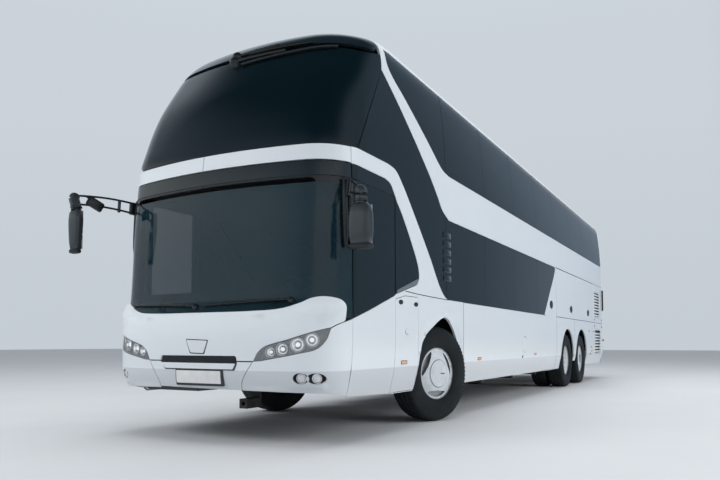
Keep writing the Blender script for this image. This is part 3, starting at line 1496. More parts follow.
def grilles():
    """Slatted vents in both sides, with a dark back."""
    group = row_group()
    for side, tag in SIDES:
        for label, outline in (("upper", UPPER_GRILLE), ("lower", LOWER_GRILLE)):
            (start, low), (stop, high) = outline[0], outline[2]
            panel(
                f"{label}_grille_back_{tag}", [trace(on_side(side), rounded(grown(outline, 8), 20), 60)],
                "black_matt", depth=46, thick=8, edge=1, replaces=["side_grilles"],
            )
            loops = [
                trace(on_side(side), rounded(grown(outline, -3), 22), 50),
                trace(on_side(side), rounded(grown(outline, -30), 14), 50),
            ]
            panel(
                f"{label}_grille_rim_{tag}", loops, "paint_plain", depth=3, thick=26, edge=2, step=60,
                slot="paint",
            )
            length = (stop - start - 52) * MM
            slat = Shape().box((0.008, length, 0.04), 0.003, spun(SLAT_LEAN * side, "Y")).made("slat")
            count = int((high - low - 60) / SLAT_PITCH)
            middle = (start + stop) / 2
            base = seated(on_side(side), (middle, low + 66), 10)
            place = shift(base.translation)
            made = repeated(
                f"{label}_grille_slats_{tag}", slat, group, "paint_plain", place, Count=count,
                Offset=(0, 0, SLAT_PITCH * MM),
            )
            piece(made, None, slot="paint")


# ---- rear


def rear_skin():
    """The tail: its panel, window, lid, lamps and bumper line."""
    heights = np.linspace(382, 3800, 40)
    loops = [
        np.concatenate([rear_edge(1, heights, 13803), rear_edge(-1, heights[::-1], 13803)]),
        trace(on_rear, rounded(REAR_WINDOW, 60), 60),
        trace(on_rear, rounded(grown(ENGINE_LID, 5), 50), 60),
    ]
    loops += [trace(on_rear, flipped(rounded(TAIL_LAMP, 30), side), 40) for side, _ in SIDES]
    panel("rear_skin", loops, "paint", chart=behind, thick=SKIN_THICK, step=70, replaces=["rear_wall"])
    pane = trace(on_rear, rounded(grown(REAR_WINDOW, -PANE_GAP), 57), 60)
    panel("rear_pane", [pane], "side_glass", chart=behind, step=100, replaces=["rear_glass"], **PANE)
    loops = [
        trace(on_rear, rounded(grown(REAR_WINDOW, 9), 60), 60),
        trace(on_rear, rounded(grown(REAR_WINDOW, -60), 30), 60),
    ]
    panel("rear_frame", loops, "black_trim", chart=behind, depth=8, thick=20, step=100, edge=1)
    ribs = bumps(
        *[groove([(-700, z), (700, z)], 7, 14, on_rear, False) for z in (1520, 1600, 1680, 1760, 1840)],
        groove([(-210, 1065), (210, 1065)], 9, 150, on_rear, False),
    )
    lid = trace(on_rear, rounded(ENGINE_LID, 45), 40)
    panel(
        "engine_lid_skin", [lid], "paint", "engine_lid", chart=behind, thick=LID_THICK, step=34, relief=ribs,
        replaces=["engine_lid"],
    )
    plate = trace(on_rear, rounded(rectangle((-260, 1010), (260, 1120)), 8), 60)
    panel("rear_plate", [plate], "plate", "engine_lid", chart=behind, depth=2, thick=8, step=120, edge=1.5)
    for side, tag in SIDES:
        outline = flipped(TAIL_LAMP, side)
        base = trace(on_rear, rounded(grown(outline, 8), 30), 40)
        panel(
            f"tail_lamp_base_{tag}", [base], "lamp_housing", chart=behind, depth=18, thick=12, step=60,
            edge=1, slot="red_lamp", replaces=["tail_lamps"],
        )
        low = 1456
        for i, (height, material) in enumerate(
            ((220, "lamp_red"), (130, "lamp_amber"), (110, "lamp_clear"), (220, "lamp_red"))
        ):
            lens = rectangle((side * 1092, low), (side * 1218, low + height - 6))
            loop = trace(on_rear, rounded(grown(lens, 0), 14), 30)
            panel(
                f"tail_lens_{tag}_{i + 1}", [loop], material, chart=behind, depth=1, thick=16, step=50,
                edge=3, slot="red_lamp",
            )
            low += height


# ---- wheels

TYRE_HALF = [
    (106, 284), (117, 292), (130, 304), (140, 320), (149, 350), (154, 385), (154, 425),
    (150, 458), (146, 472), (142, 487), (136, 503), (127, 516), (115, 522), (98, 526), (97, 514),
    (86, 514), (85, 527.5), (40, 530), (39, 516), (28, 516), (27, 530),
]


def tyre_section(shift=0.0):
    """A tyre's closed section, in metres."""
    outer = list(TYRE_HALF) + [(-x, r) for x, r in reversed(TYRE_HALF)]
    inner = [(-96, 280), (96, 280)]
    return [((x + shift) * MM, r * MM) for x, r in outer + inner]


def disc_chart(profile):
    """A chart of a wheel's face: Y and Z across it and X from its radius."""
    radii, reach = zip(*profile)

    def chart(u, v):
        distance = np.hypot(u, v)
        return np.stack([np.interp(distance, radii, reach), u, v], axis=-1)

    return chart


def ellipse(radius, angle, long, wide, count=20):
    """An oval hole on a disc, its longer side round the disc."""
    result = []
    for a in turns(count):
        r, t = radius + wide * sin(a), radians(angle) + long / radius * cos(a)
        result.append((r * cos(t), r * sin(t)))
    return result


def crescent(angle, reach, outer, depth, count=24):
    """A slot that follows the rim, widest in its middle."""
    spans = np.linspace(-reach, reach, count)
    rim = [(outer * cos(radians(angle + a)), outer * sin(radians(angle + a))) for a in spans]
    back = []
    for a in spans[::-1][1:-1]:
        r = outer - 8 - depth * cos(a / reach * pi / 2) ** 0.8
        back.append((r * cos(radians(angle + a)), r * sin(radians(angle + a))))
    return rim + back


def circle(radius, count=96):
    """A circle on a disc."""
    return [(radius * cos(a), radius * sin(a)) for a in turns(count)]


def front_cover(name):
    """A full wheel cover with three slots and a plain round cap."""
    chart = disc_chart([
        (0, 146), (60, 145), (120, 142), (154, 139), (162, 136), (205, 129), (240, 117), (262, 106),
        (275, 103), (284, 108), (300, 122),
    ])
    slots = [crescent(angle, 37, 262, 62) for angle in (-92, 28, 148)]
    ring = sheet(name, [circle(294)] + slots + [circle(158, 72)], chart, thick=4, step=22, edge=2.5)
    cap = sheet(
        name + "_cap", [circle(151, 72), rectangle((24, -5), (108, 5))], chart, depth=-2, thick=8, step=22,
        edge=3,
    )
    return joined_normals(name, [ring, cap])


def rear_cover(name, deep):
    """A wheel face with ten hand holes, dished in for a pair of tyres."""
    if deep:
        profile = [
            (0, 52), (128, 52), (140, 44), (160, 30), (205, 26), (240, 34), (258, 70), (268, 98), (290, 104)
        ]
    else:
        profile = [
            (0, 124), (120, 122), (150, 112), (170, 100), (215, 92), (245, 90), (262, 96), (276, 101),
            (290, 98),
        ]
    chart = disc_chart(profile)
    holes = [ellipse(208, 36 * i + 18, 27, 20) for i in range(10)]
    return sheet(name, [circle(279)] + holes, chart, thick=7, step=18, edge=3)


def joined_normals(name, parts):
    """One object from several sheets, which keep their own normals."""
    verts, faces, normals = [], [], []
    for part in parts:
        mesh = part.data
        start = len(verts)
        verts += [v.co.copy() for v in mesh.vertices]
        normals += [tuple(n.vector) for n in mesh.corner_normals]
        faces += [tuple(start + i for i in p.vertices) for p in mesh.polygons]
        bpy.data.objects.remove(part)
    return finish_mesh(name, verts, faces, normals)


def moved(made, place):
    """Moves a mesh's points by a matrix, keeping its own normals."""
    made.data.transform(place)
    made.data.update()
    return made


RIM = [
    (-115, 279), (-115, 290), (-104, 290), (-100, 284), (100, 284), (104, 290), (115, 290), (115, 283),
    (106, 277), (-106, 277),
]
SINGLE_DISC = [
    (72, 278), (84, 278), (86, 262), (88, 150), (92, 122), (92, 47), (-45, 47), (-45, 115), (66, 115),
    (72, 262),
]
TWIN_DISC = [
    (-64, 277), (-52, 277), (18, 150), (22, 130), (22, 47), (-250, 47), (-250, 115), (0, 115), (6, 150)
]


TREAD_BLOCK, TREAD_PLACE = (0.019, 0.02, 0.012), (0.1305, 0.504)  # the place: across, out
NUT_FACE, HUB_FACE = {True: 0.058, False: 0.106}, {True: 0.052, False: 0.124}  # by twin tyres
KINGPIN, AXLE_HEIGHT = 120, 0.53
WHEELS = [
    # axle, station, track, rest angle, twin tyres
    ("front", 2700, 2200, -16, False),
    ("drive", 9530, 2186, 0, True),
    ("tag", 11000, 2186, 0, False),
]


def wheel(name, body, tag, place, group, twin, details):
    """A wheel with its tyre, rim, cover, nuts and tread blocks."""
    tyre = Shape().ring(tyre_section(), 96)
    if twin:
        tyre.ring(tyre_section(-TWIN_SHIFT), 96)
    piece(moved(tyre.made(f"{name}_tyre", 28), place), "tyre", body, replaces=[name])
    block = Shape()
    for side, _ in SIDES:
        lean = shift(side * TREAD_PLACE[0], 0, TREAD_PLACE[1]) @ spun(-58 * side, "Y")
        block.box(TREAD_BLOCK, 0.003, lean)
    lugs = repeated(
        f"{name}_tread", block.made("block"), group, "tyre", place, Count=details.tread_blocks,
        First_Angle=0.02,
    )
    piece(lugs, None, body, "tyre")
    rim = Shape().ring([(x * MM, r * MM) for x, r in RIM], 72)
    rim.ring([(x * MM, r * MM) for x, r in (TWIN_DISC if twin else SINGLE_DISC)], 48)
    if twin:
        rim.ring([((x - TWIN_SHIFT) * MM, r * MM) for x, r in RIM], 48)
    piece(moved(rim.made(f"{name}_rim"), place), "rim_metal", body)
    if tag == "front":
        cover = front_cover(f"{name}_cover")
    else:
        cover = rear_cover(f"{name}_cover", twin)
    piece(moved(cover, place), "cover_metal", body)
    if tag != "front":
        reach = NUT_FACE[twin]
        nut = Shape().turned(
            [(0, 0.017), (0.002, 0.017), (0.002, 0.0145), (0.024, 0.013), (0.03, 0.006), (0.03, 0.0)], 6,
            shift(reach - 0.012, 0, NUT_CIRCLE * MM),
        )
        made = repeated(f"{name}_nuts", nut.made("nut"), group, "chrome", place, Count=NUTS, First_Angle=0.0)
        piece(made, None, body, "iron")
        face = HUB_FACE[twin]
        hub = Shape().turned(
            [
                (face - 0.03, 0.104), (face + 0.004, 0.104), (face + 0.014, 0.092), (face + 0.018, 0.05),
                (face + 0.018, 0.0),
            ],
            40,
        )
        piece(moved(hub.made(f"{name}_hub", 40), place), "satin_metal", body, "iron")


def all_wheels(details):
    """Six wheels on their own bodies."""
    group = turn_group()
    for tag, station, track, angle, twin in WHEELS:
        for side, hand in SIDES:
            middle = side * (track / 2 - KINGPIN) * MM
            kingpin = shift(middle, (NOSE_Y + station) * MM, AXLE_HEIGHT)
            out = shift(side * KINGPIN * MM, 0, 0)
            place = kingpin @ spun(angle, "Z") @ out
            if side < 0:
                place = place @ spun(180, "Z")
            name = f"{tag}_wheel_{hand}"
            wheel(name, name, tag, place, group, twin, details)


# ---- mirrors and wipers


SQUARENESS = 0.55  # of a soft block's cross section: 1 is round


def rounded_block(shape, size, place, rings=9, sides=28):
    """A soft pillow form of a size: wide in the middle and rounded at every edge."""
    loops = []
    for t in np.linspace(-1, 1, rings):
        grow = 0.35 + 0.65 * max((1 - abs(t) ** 3.2) ** 0.5, 0.12)
        loop = []
        for a in turns(sides):
            x, y = (
                np.sign(v) * abs(v) ** SQUARENESS * reach / 2 * grow
                for v, reach in zip((cos(a), sin(a)), size)
            )
            loop.append((x, y, t * size[2] / 2))
        loops.append(loop)
    return shape.rings(loops, place)


def mirrors():
    """Both mirrors: a base bar, its arm, a knuckle, a head and its two glasses."""
    specs = [
        # side, ends of the base bar, elbow, head (x, y, foot, top), size across, taper
        ("left", 1, 1690, 2300, (1490, 300, 2120), (1490, 300, 1640, 2040), (0.205, 0.12), 0.0),
        ("right", -1, 1770, 2345, (1478, -138, 2290), (1440, -140, 1740, 2195), (0.17, 0.1), 0.3),
    ]
    for tag, side, low, high, bend, head, size, taper in specs:
        arms, metal = Shape(), Shape()
        for station in (462, 512):
            base = [seated(on_side(side), (station, z), -20).translation for z in np.linspace(low, high, 7)]
            arms.tube(base, [0.014, 0.026, 0.028, 0.028, 0.028, 0.026, 0.014], 14)
        elbow = Vector((side * bend[0] * MM, (NOSE_Y + bend[1]) * MM, bend[2] * MM))
        centre = Vector((side * head[0] * MM, (NOSE_Y + head[1]) * MM, (head[2] + head[3]) / 2 * MM))
        tall = (head[3] - head[2]) * MM
        for drop in (0.0, 0.105):
            start = seated(on_side(side), (478, high - 30 - drop / MM), -24).translation
            stop = elbow + upwards(0.03 - drop * 0.8)
            arms.tube(
                [start.lerp(stop, t) + upwards(0.02 * sin(t * pi)) for t in np.linspace(0, 1, 9)], 0.0105, 12
            )
        root = seated(on_side(side), (478, high - 82), -24).translation
        run = (elbow - root).to_track_quat("X", "Z").to_matrix().to_4x4()
        reach = (elbow - root).length
        for t, long, deep, form in ((0.06, 0.09, 0.05, arms), (0.3, 0.03, 0.034, metal)):
            form.box((long, deep, 0.13), 0.012, shift(root.lerp(elbow, t)) @ run)
        if reach > 0.35:
            spin = spun(-24, "Y")
            arms.box((0.17, 0.05, 0.1), 0.018, shift(root.lerp(elbow, 0.68) + upwards(-0.02)) @ run @ spin)
            arms.tube(
                [root.lerp(elbow, 0.62) + upwards(-0.02), root.lerp(elbow, 0.86) + upwards(0.05)], 0.007, 8
            )
        neck = centre + upwards(tall / 2)
        knee = [
            elbow + Vector((-side * 0.035, 0, 0.015)), elbow + upwards(0.005), neck.lerp(elbow, 0.4),
            neck + upwards(-0.02),
        ]
        bent = [Vector(tuple(p)) for p in np.array(flowing([tuple(v) for v in knee], 5))]
        metal.tube(bent, [0.038, 0.042, 0.046, 0.05] + [0.05] * (len(bent) - 7) + [0.05, 0.05, 0.05], 18)
        arms.turned(
            [(0, 0.0), (0, 0.05), (0.004, 0.056), (0.018, 0.056), (0.022, 0.05), (0.022, 0.0)], 28,
            shift(neck - upwards(0.008)) @ spun(-90, "Y"),
        )
        piece(arms.made(f"mirror_arms_{tag}", 50), "black_trim", replaces=["mirrors"])
        piece(metal.made(f"mirror_knuckle_{tag}", 50), "mirror_paint")
        shell = rounded_block(Shape(), (*size, tall), None)
        shell.verts = [
            Vector(
                (v.x * (1 - taper * (0.5 - v.z / tall)), v.y * (1 - taper * (0.5 - v.z / tall)), v.z)
            ) + centre
            for v in shell.verts
        ]
        piece(shell.made(f"mirror_shell_{tag}", 60), "mirror_paint")
        foot = rounded_block(
            Shape(), (size[0] * (1.02 - taper), size[1] * (1.04 - taper), 0.05),
            shift(centre - upwards(tall / 2 - 0.026)),
        )
        piece(foot.made(f"mirror_foot_{tag}", 60), "black_matt")
        face = Shape()
        wide = size[0] * (0.76 - taper * 0.4)
        for high_share, low_share in ((0.44, -0.06), (-0.09, -0.4)):
            height = tall * (high_share - low_share)
            at = centre + Vector((0, size[1] * (0.44 - taper * 0.24), tall * (high_share + low_share) / 2))
            face.box((wide, 0.012, height), 0.004, shift(at))
        piece(face.made(f"mirror_glass_{tag}"), "mirror_face")


def wipers():
    """Wipers on both windscreens, each with its boss, arm and blade."""

    def along(points, lift):
        return [Vector(p) * MM for p in lifted(around, front_run(points, 70), -lift)[0]]

    shape = Shape()
    rubber = Shape()
    for start, stop, boss, size in (
        # blade's ends, boss, size
        ((-980, 1232), (-60, 1196), (-70, 1192), 1.0),
        ((20, 1196), (900, 1238), (890, 1232), 1.0),
        ((60, 3560), (985, 3640), (-45, 3610), 2.0),
        ((60, 3680), (760, 3700), (-45, 3672), 2.0),
    ):
        shape.tube(
            along([boss, ((start[0] + stop[0]) / 2, (start[1] + stop[1]) / 2 + 12 * size)], 30), 0.008 * size,
            10,
        )
        shape.tube(along([start, stop], 22), 0.0065 * size, 8)
        rubber.tube(along([start, stop], 12), 0.0045 * size, 8)
        place = seated(on_front, boss, -4) @ Matrix.Diagonal((size, size, size, 1))
        shape.turned([(-0.01, 0.03), (0.012, 0.028), (0.028, 0.02), (0.034, 0.008), (0.034, 0.0)], 24, place)
    piece(shape.made("wiper_arms", 50), "black_trim", replaces=["wipers"])
    piece(rubber.made("wiper_blades", 50), "rubber")


# ---- trim


def studs(name, material, body, side, places, radius, proud=6, wide=1.0):
    """Round or oval caps on the body's side."""
    form = Shape()
    profile = [
        (-0.006, 0.0), (-0.006, radius), (proud * 0.0006, radius), (proud * MM, radius * 0.86),
        (proud * MM, 0.0),
    ]
    for place in places:
        form.turned(profile, 28, seated(on_side(side), place) @ Matrix.Diagonal((1, wide, 1, 1)))
    piece(form.made(name), material, body, "black_trim")


def trim():
    """Markers, latches, handles, vent slots, joints and corner lamps."""
    seams("joints_left", 1, [
        [(1640, 1395), (1900, 1384), (2300, 1376), (2830, 1370)],
        [(3341, 1366), (3341, 382)],
        [(3341, 1370), (7600, 1370)],
        [(8503, 2300), (8503, 382)],
        [(8506, 1372), (13797, 1372)],
        [(8460, 2312), (13797, 2308)],
        [(10209, 1368), (10209, 700)],
    ])
    seams("joints_right", -1, [
        [(3341, 1366), (3341, 382)],
        [(8503, 2300), (8503, 382)],
        [(8506, 1372), (13797, 1372)],
        [(8503, 2308), (13797, 2308)],
        [(10209, 1368), (10209, 700)],
    ])
    plate = [(1428, 1358), (1452, 1394), (1950, 1543), (1976, 1524), (1930, 1486)]
    panel(
        "sill_plate", [trace(on_side(1), rounded(plate, 10), 40)], "satin_metal", depth=-2.5, thick=6,
        step=80, edge=1.5, slot="black_trim",
    )
    for side, tag in SIDES:
        for body, places in (
            ("body", [(3970, 670), (6900, 690), (12300, 690)]),
            ("service_flap" if side > 0 else "body", [(1630, 680)]),
        ):
            lens, bezel = Shape(), Shape()
            for point in places:
                place = seated(on_side(side), point, 3)
                lens.box((0.016, 0.13, 0.03), 0.006, place)
                bezel.box((0.01, 0.15, 0.04), 0.004, place)
            name = f"{tag}_{'flap' if len(places) == 1 else 'side'}"
            piece(bezel.made(f"marker_bezel_{name}"), "black_trim", body)
            piece(lens.made(f"marker_{name}"), "lamp_amber", body, "red_lamp")
        dots = [
            (12635, 1444), (13691, 1451), (12660, 1290), (13696, 1281), (11891, 1153), (12454, 1152),
            (12224, 786), (12095, 627),
        ]
        studs(f"studs_{tag}", "black_matt", "body", side, dots, 0.021)
        grips = [(8910 + 970 * i, 1571) for i in (1, 3)]
        studs(f"hatch_grips_{tag}", "black_matt", f"luggage_hatch_{tag}", side, grips, 0.074, 7, 1.6)
        strip_place = seated(on_side(side), (13835, 1970), -6)
        column = Shape().box((0.06, 0.04, 0.53), 0.014, strip_place)
        piece(column.made(f"corner_vane_{tag}", 50), "black_trim")
        column = Shape().box((0.05, 0.05, 0.05), 0.016, seated(on_side(side), (13850, 950), -8))
        piece(column.made(f"corner_marker_{tag}", 50), "lamp_red", slot="red_lamp")
    studs("exit_grip", "black_matt", "exit_door", 1, [(8080, 1581)], 0.074, 7, 1.6)
    studs("flap_latches", "black_matt", "service_flap", 1, [(1530, 1278), (1900, 1272)], 0.024, 6, 2.0)
    studs("flap_boss", "paint_plain", "service_flap", 1, [(1690, 990)], 0.034, 14, 1.8)
    studs("filler_lock", "black_matt", "body", 1, [(6080, 660)], 0.022)
    slot = Shape().box((0.01, 0.235, 0.064), 0.004, seated(on_side(1), (2800, 2120), -2))
    made = repeated(
        "pillar_vents", slot.made("vent"), row_group(), "cap_gloss", None, Count=6, Offset=(0, 0, -0.1)
    )
    piece(made, None, slot="black_trim")
    studs("pillar_dot", "black_matt", "body", 1, [(2780, 1500)], 0.012, 4)


# ---- CAD nodes that stay


def dress_nodes():
    """Finishes for the frame's own pieces: the cab, the decks and what is underneath."""
    finishes = {
        "floors": "vinyl",
        "steps": "vinyl",
        "luggage_bay": "bay_sheet",
        "wheel_housings": "housing",
        "underframe": "chassis",
        "engine": "iron",
        "dashboard": "dashboard",
        "seats": "seat_fabric",
        "axles": "iron",
        "tow_socket": "chassis",
        "front_knuckle_left": "iron",
        "front_knuckle_right": "iron",
        "tag_knuckle_left": "iron",
        "tag_knuckle_right": "iron",
        "front_door_arm": "satin_metal",
        "mid_door_arm": "satin_metal",
    }
    for name, material in finishes.items():
        mesh = NODES[name].data
        mesh.materials.clear()
        mesh.materials.append(MATERIALS[material])


# ---- stage


# Colours of the surroundings: stops upwards, then stops from the right to the left of the coach.
LIT_SKY = [(0.0, (0.6, 0.64, 0.68)), (1.0, (0.9, 0.95, 1.0))]
SKY_BEHIND = (
    [
        (0.0, (0.56, 0.61, 0.66)), (0.38, (0.6, 0.65, 0.7)), (0.66, (0.62, 0.7, 0.78)),
        (0.86, (0.03, 0.05, 0.06)),
    ],
    [
        (0.49, (1, 1, 1)), (0.58, (0.46, 0.54, 0.63)), (0.67, (0.3, 0.36, 0.43)), (0.82, (0.38, 0.44, 0.5)),
        (1.0, (0.9, 0.94, 0.97)),
    ],
)
SKY_BEFORE = (
    [(0.0, (0.6, 0.66, 0.72)), (0.3, (0.95, 1.0, 1.0)), (0.48, (0.3, 0.36, 0.42)), (0.8, (0.02, 0.03, 0.04))],
    [
        (0.1, (1, 1, 1)), (0.3, (0.96, 0.98, 1.0)), (0.47, (0.58, 0.64, 0.7)), (0.6, (0.55, 0.6, 0.65)),
        (0.8, (0.95, 0.98, 1.0)),
    ],
)
SENSOR_WIDTH, LENS, CAMERA_SHIFT = 36, 33.64, (0.009, 0.078)
CAMERA_PLACE, CAMERA_TURN = (4.092, -11.418, 0.871), (94, 0, 29.01)
FLOOR_SIZE = 160


def surroundings(strength):
    """What lights the coach, and a broken sky for eyes, mirrors and glass."""
    world = bpy.data.worlds.new("Studio")
    world.use_nodes = True
    bpy.context.scene.world = world
    tree = world.node_tree

    def node(kind, *feeds, **settings):
        """Adds a node to the world, with its inputs linked or set in order."""
        return add_node(tree, "ShaderNode" + kind, enumerate(feeds), **settings)

    def ramp(feed, stops):
        """Colours along one value."""
        made = node("ValToRGB", feed)
        made.color_ramp.interpolation = "EASE"
        while len(made.color_ramp.elements) < len(stops):
            made.color_ramp.elements.new(0.5)
        for element, (position, colour) in zip(made.color_ramp.elements, stops):
            element.position, element.color = position, (*colour, 1)
        return made.outputs[0]

    def product(first, second):
        return node("VectorMath", first, second, operation="MULTIPLY").outputs[0]

    way = node("SeparateXYZ", node("TexCoord").outputs["Generated"]).outputs
    across = node("MapRange", way["X"], -1.0, 1.0, 0.0, 1.0).outputs[0]
    lit = node("Background", ramp(way["Z"], LIT_SKY), strength)
    before, behind = (
        product(ramp(way["Z"], up), ramp(across, along)) for up, along in (SKY_BEFORE, SKY_BEHIND)
    )
    rearward = node("MapRange", way["Y"], -0.25, 0.1, 0.0, 1.0).outputs[0]
    blend = node("Mix", rearward, data_type="RGBA")
    tree.links.new(before, blend.inputs[6])
    tree.links.new(behind, blend.inputs[7])
    seen = node("Background", blend.outputs[2], 1.0)
    rays = node("LightPath").outputs
    total = node("Math", rays["Is Camera Ray"], rays["Is Glossy Ray"], use_clamp=True).outputs[0]
    total = node("Math", total, rays["Is Transmission Ray"], use_clamp=True).outputs[0]
    mix = node("MixShader", total, lit.outputs[0], seen.outputs[0])
    tree.links.new(mix.outputs[0], tree.nodes["World Output"].inputs["Surface"])


def stage(lighting):
    """A pale floor, soft lights and the camera."""
    bpy.ops.mesh.primitive_plane_add(size=FLOOR_SIZE, location=(0, 0, 0))
    floor = bpy.context.object
    floor.name = "floor"
    floor.data.materials.append(MATERIALS["studio_floor"])
    surroundings(lighting.world)
    for name, location, size, energy, aim in (
        # name, place, size, power, what it points at
        ("key", (-9, -17, 11), (9, 6), lighting.key, (0, -4, 1.6)),
        ("top", (0, 0, 14), (8, 20), lighting.top, (0, 0, 2)),
        ("fill", (16, 1, 7), (16, 8), lighting.fill, (0, 1, 1.6)),
    ):
        data = bpy.data.lights.new(name, "AREA")
        data.shape = "RECTANGLE"
        data.size, data.size_y = size
        data.energy = energy
        lamp = placed(name, data)
        lamp.visible_glossy = False
        lamp.location = location
        toward = Vector(aim) - Vector(location)
        lamp.rotation_euler = toward.to_track_quat("-Z", "Y").to_euler()
    data = bpy.data.cameras.new("camera")
    data.sensor_width = SENSOR_WIDTH
    data.lens = LENS
    data.shift_x, data.shift_y = CAMERA_SHIFT
    camera = placed("camera", data)
    camera.location = CAMERA_PLACE
    camera.rotation_euler = [radians(angle) for angle in CAMERA_TURN]
    bpy.context.scene.camera = camera
    bpy.context.scene.view_settings.view_transform = "Standard"


# ---- seats


def seat_pair(width):
    """A pair of coach seats facing -Y: soft forms for cushions, backs and head rests, in metres."""
    soft = Shape()
    half = width / 2
    for x in (-half / 2 - 0.003, half / 2 + 0.003):
        across = half - 0.03
        tilt = spun(-4, "X")
        rounded_block(soft, (across, 0.44, 0.13), shift(x, 0.225, 0.375) @ tilt)
        lean = spun(-11, "X")
        back = shift(x, 0.515, 0.73) @ lean
        rounded_block(soft, (across, 0.095, 0.62), back)
        for side in (-1, 1):
            rounded_block(soft, (0.06, 0.12, 0.5), back @ shift(side * (across / 2 - 0.035), -0.022, -0.02))
        rounded_block(soft, (across * 0.72, 0.085, 0.17), back @ shift(0, -0.02, 0.27))
    return soft


def seat_frame(width):
    """What carries a pair of seats: legs, a rail and arm rests, in metres."""
    hard = Shape()
    hard.box((width - 0.06, 0.05, 0.05), 0.006, shift(0, 0.14, 0.27))
    hard.box((width - 0.06, 0.05, 0.05), 0.006, shift(0, 0.38, 0.27))
    for x in (-width / 4, width / 4):
        hard.box((0.05, 0.3, 0.25), 0.008, shift(x, 0.26, 0.127))
    for x in (-width / 2 + 0.02, width / 2 - 0.02):
        hard.box((0.036, 0.3, 0.045), 0.012, shift(x, 0.36, 0.6))
    return hard


SEAT_ROWS = [
    # side, first station, rows, floor
    (1, 1900, 4, 2370),
    (1, 7700, 7, 2370),
    (-1, 1900, 14, 2370),
    (1, 3900, 2, 460),
    (-1, 3900, 4, 460),
]
SEAT_X, SEAT_WIDTH, SEAT_PITCH = 740, 820, 800


def seats():
    """Rows of paired seats on both decks, and the driver's seat."""
    group = row_group()
    for i, (side, first, rows, floor) in enumerate(SEAT_ROWS):
        place = shift(side * SEAT_X * MM, (NOSE_Y + first) * MM, floor * MM)
        for label, build, material in (
            ("seats", seat_pair, "seat_fabric"), ("seat_frames", seat_frame, "satin_metal")
        ):
            template = build(SEAT_WIDTH * MM).made("seat", 60)
            name = f"{label}_{i + 1}"
            made = repeated(
                name, template, group, material, place, Count=rows, Offset=(0, SEAT_PITCH * MM, 0)
            )
            piece(made, None, slot="seat_fabric", replaces=["seats"])
    driver = shift(0.62, (NOSE_Y + 1160) * MM, 1.0)
    soft = Shape()
    rounded_block(soft, (0.47, 0.45, 0.14), driver @ shift(0, 0.24, 0.4))
    back = driver @ shift(0, 0.475, 0.74) @ spun(-9, "X")
    rounded_block(soft, (0.47, 0.11, 0.64), back)
    rounded_block(soft, (0.28, 0.09, 0.17), back @ shift(0, 0, 0.36))
    made = piece(soft.made("driver_seat", 60), "seat_fabric", slot="seat_fabric")
    hard = Shape()
    hard.box((0.36, 0.36, 0.42), 0.02, driver @ shift(0, 0.24, 0.112))
    piece(hard.made("driver_seat_base"), "black_matt")


# ---- the add-on


class CoachPaint(bpy.types.PropertyGroup):
    """Colours of the coach."""

    paint: FloatVectorProperty(
        name="Paint", description="Colour of the body", default=(0.79, 0.835, 0.87),
        subtype="COLOR", size=3, min=0, max=1,
    )
    glass: FloatVectorProperty(
        name="Glass", description="Tint of the glass", default=(0.002, 0.007, 0.010),
        subtype="COLOR", size=3, min=0, max=1,
    )


class CoachDetail(bpy.types.PropertyGroup):
    """How finely the coach is made."""

    skin_step: FloatProperty(
        name="Skin Step", description="Distance between points of the skin, in millimetres",
        default=60.0, min=20.0, max=200.0,
    )
    tread_blocks: IntProperty(
        name="Tread Blocks", description="Shoulder blocks round each tyre", default=68, min=20, max=120
    )


class CoachLighting(bpy.types.PropertyGroup):
    """The strength of each light."""

    world: FloatProperty(name="World", description="Strength of the surroundings", default=0.6, min=0)
    key: FloatProperty(
        name="Key", description="Power of the light in front", default=1060.0, min=0, unit="POWER"
    )
    top: FloatProperty(
        name="Top", description="Power of the light above", default=1100.0, min=0, unit="POWER"
    )
    fill: FloatProperty(
        name="Fill", description="Power of the light beside", default=1500.0, min=0, unit="POWER"
    )


class COACH_OT_finishes(bpy.types.Operator):
    """Make the coach's finishes and dress the frame's own pieces"""

    bl_idname = "coach.finishes"
    bl_label = "Finishes"

    def execute(self, context):
        make_finishes(context.scene.coach_paint)
        dress_nodes()
        return {"FINISHED"}


class COACH_OT_skin(bpy.types.Operator):
    """Build the white sides, roof and tail"""

    bl_idname = "coach.skin"
    bl_label = "Skin"

    def execute(self, context):
        for side, tag in SIDES:
            side_skin(side, tag, context.scene.coach_detail.skin_step)
        roof_skin()
        rear_skin()
        return {"FINISHED"}


class COACH_OT_front(bpy.types.Operator):
    """Build the mask, bumper, plate and lamps"""

    bl_idname = "coach.front"
    bl_label = "Front"

    def execute(self, context):
        front_skin()
        plate_and_badge()
        front_lamps()
        return {"FINISHED"}


class COACH_OT_glazing(bpy.types.Operator):
    """Build the windscreens and side glass"""

    bl_idname = "coach.glazing"
    bl_label = "Glazing"

    def execute(self, context):
        screens()
        side_glazing()
        return {"FINISHED"}


class COACH_OT_openings(bpy.types.Operator):
    """Build the doors, hatches, flaps and vents"""

    bl_idname = "coach.openings"
    bl_label = "Openings"

    def execute(self, context):
        opening_panels()
        grilles()
        return {"FINISHED"}


class COACH_OT_wheels(bpy.types.Operator):
    """Build the six wheels"""

    bl_idname = "coach.wheels"
    bl_label = "Wheels"

    def execute(self, context):
        all_wheels(context.scene.coach_detail)
        return {"FINISHED"}


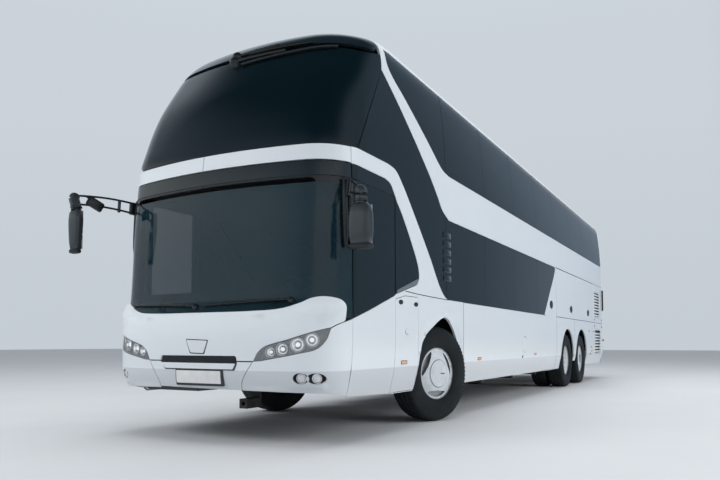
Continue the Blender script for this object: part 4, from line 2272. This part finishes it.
class COACH_OT_fittings(bpy.types.Operator):
    """Build the mirrors, wipers, markers and latches"""

    bl_idname = "coach.fittings"
    bl_label = "Fittings"

    def execute(self, context):
        mirrors()
        wipers()
        trim()
        return {"FINISHED"}


class COACH_OT_seats(bpy.types.Operator):
    """Build the seats of both decks"""

    bl_idname = "coach.seats"
    bl_label = "Seats"

    def execute(self, context):
        seats()
        return {"FINISHED"}


class COACH_OT_stage(bpy.types.Operator):
    """Set the floor, the lights and the camera"""

    bl_idname = "coach.stage"
    bl_label = "Stage"

    def execute(self, context):
        stage(context.scene.coach_lighting)
        return {"FINISHED"}


STEPS = (
    COACH_OT_finishes,
    COACH_OT_skin,
    COACH_OT_front,
    COACH_OT_glazing,
    COACH_OT_openings,
    COACH_OT_wheels,
    COACH_OT_fittings,
    COACH_OT_seats,
    COACH_OT_stage,
)


class COACH_PT_panel(bpy.types.Panel):
    """The coach's values and steps"""

    bl_idname = "COACH_PT_panel"
    bl_label = "Touring Coach"
    bl_space_type = "VIEW_3D"
    bl_region_type = "UI"
    bl_category = "Coach"

    def draw(self, context):
        """Lists the values and the steps in their order."""
        scene = context.scene
        for group in (scene.coach_paint, scene.coach_detail, scene.coach_lighting):
            for name in group.__annotations__:
                self.layout.prop(group, name)
        for step in STEPS:
            self.layout.operator(step.bl_idname)


GROUPS = {"coach_paint": CoachPaint, "coach_detail": CoachDetail, "coach_lighting": CoachLighting}
CLASSES = (*GROUPS.values(), *STEPS, COACH_PT_panel)


def register():
    """Registers the classes and the scene's values."""
    for item in CLASSES:
        bpy.utils.register_class(item)
    for name, group in GROUPS.items():
        setattr(bpy.types.Scene, name, PointerProperty(type=group))


def unregister():
    """Removes the scene's values and the classes."""
    for name in GROUPS:
        delattr(bpy.types.Scene, name)
    for item in reversed(CLASSES):
        bpy.utils.unregister_class(item)


def main():
    """Builds the whole coach."""
    register()
    for step in STEPS:
        getattr(bpy.ops.coach, step.bl_idname.split(".")[1])()


if __name__ == "__main__":
    main()
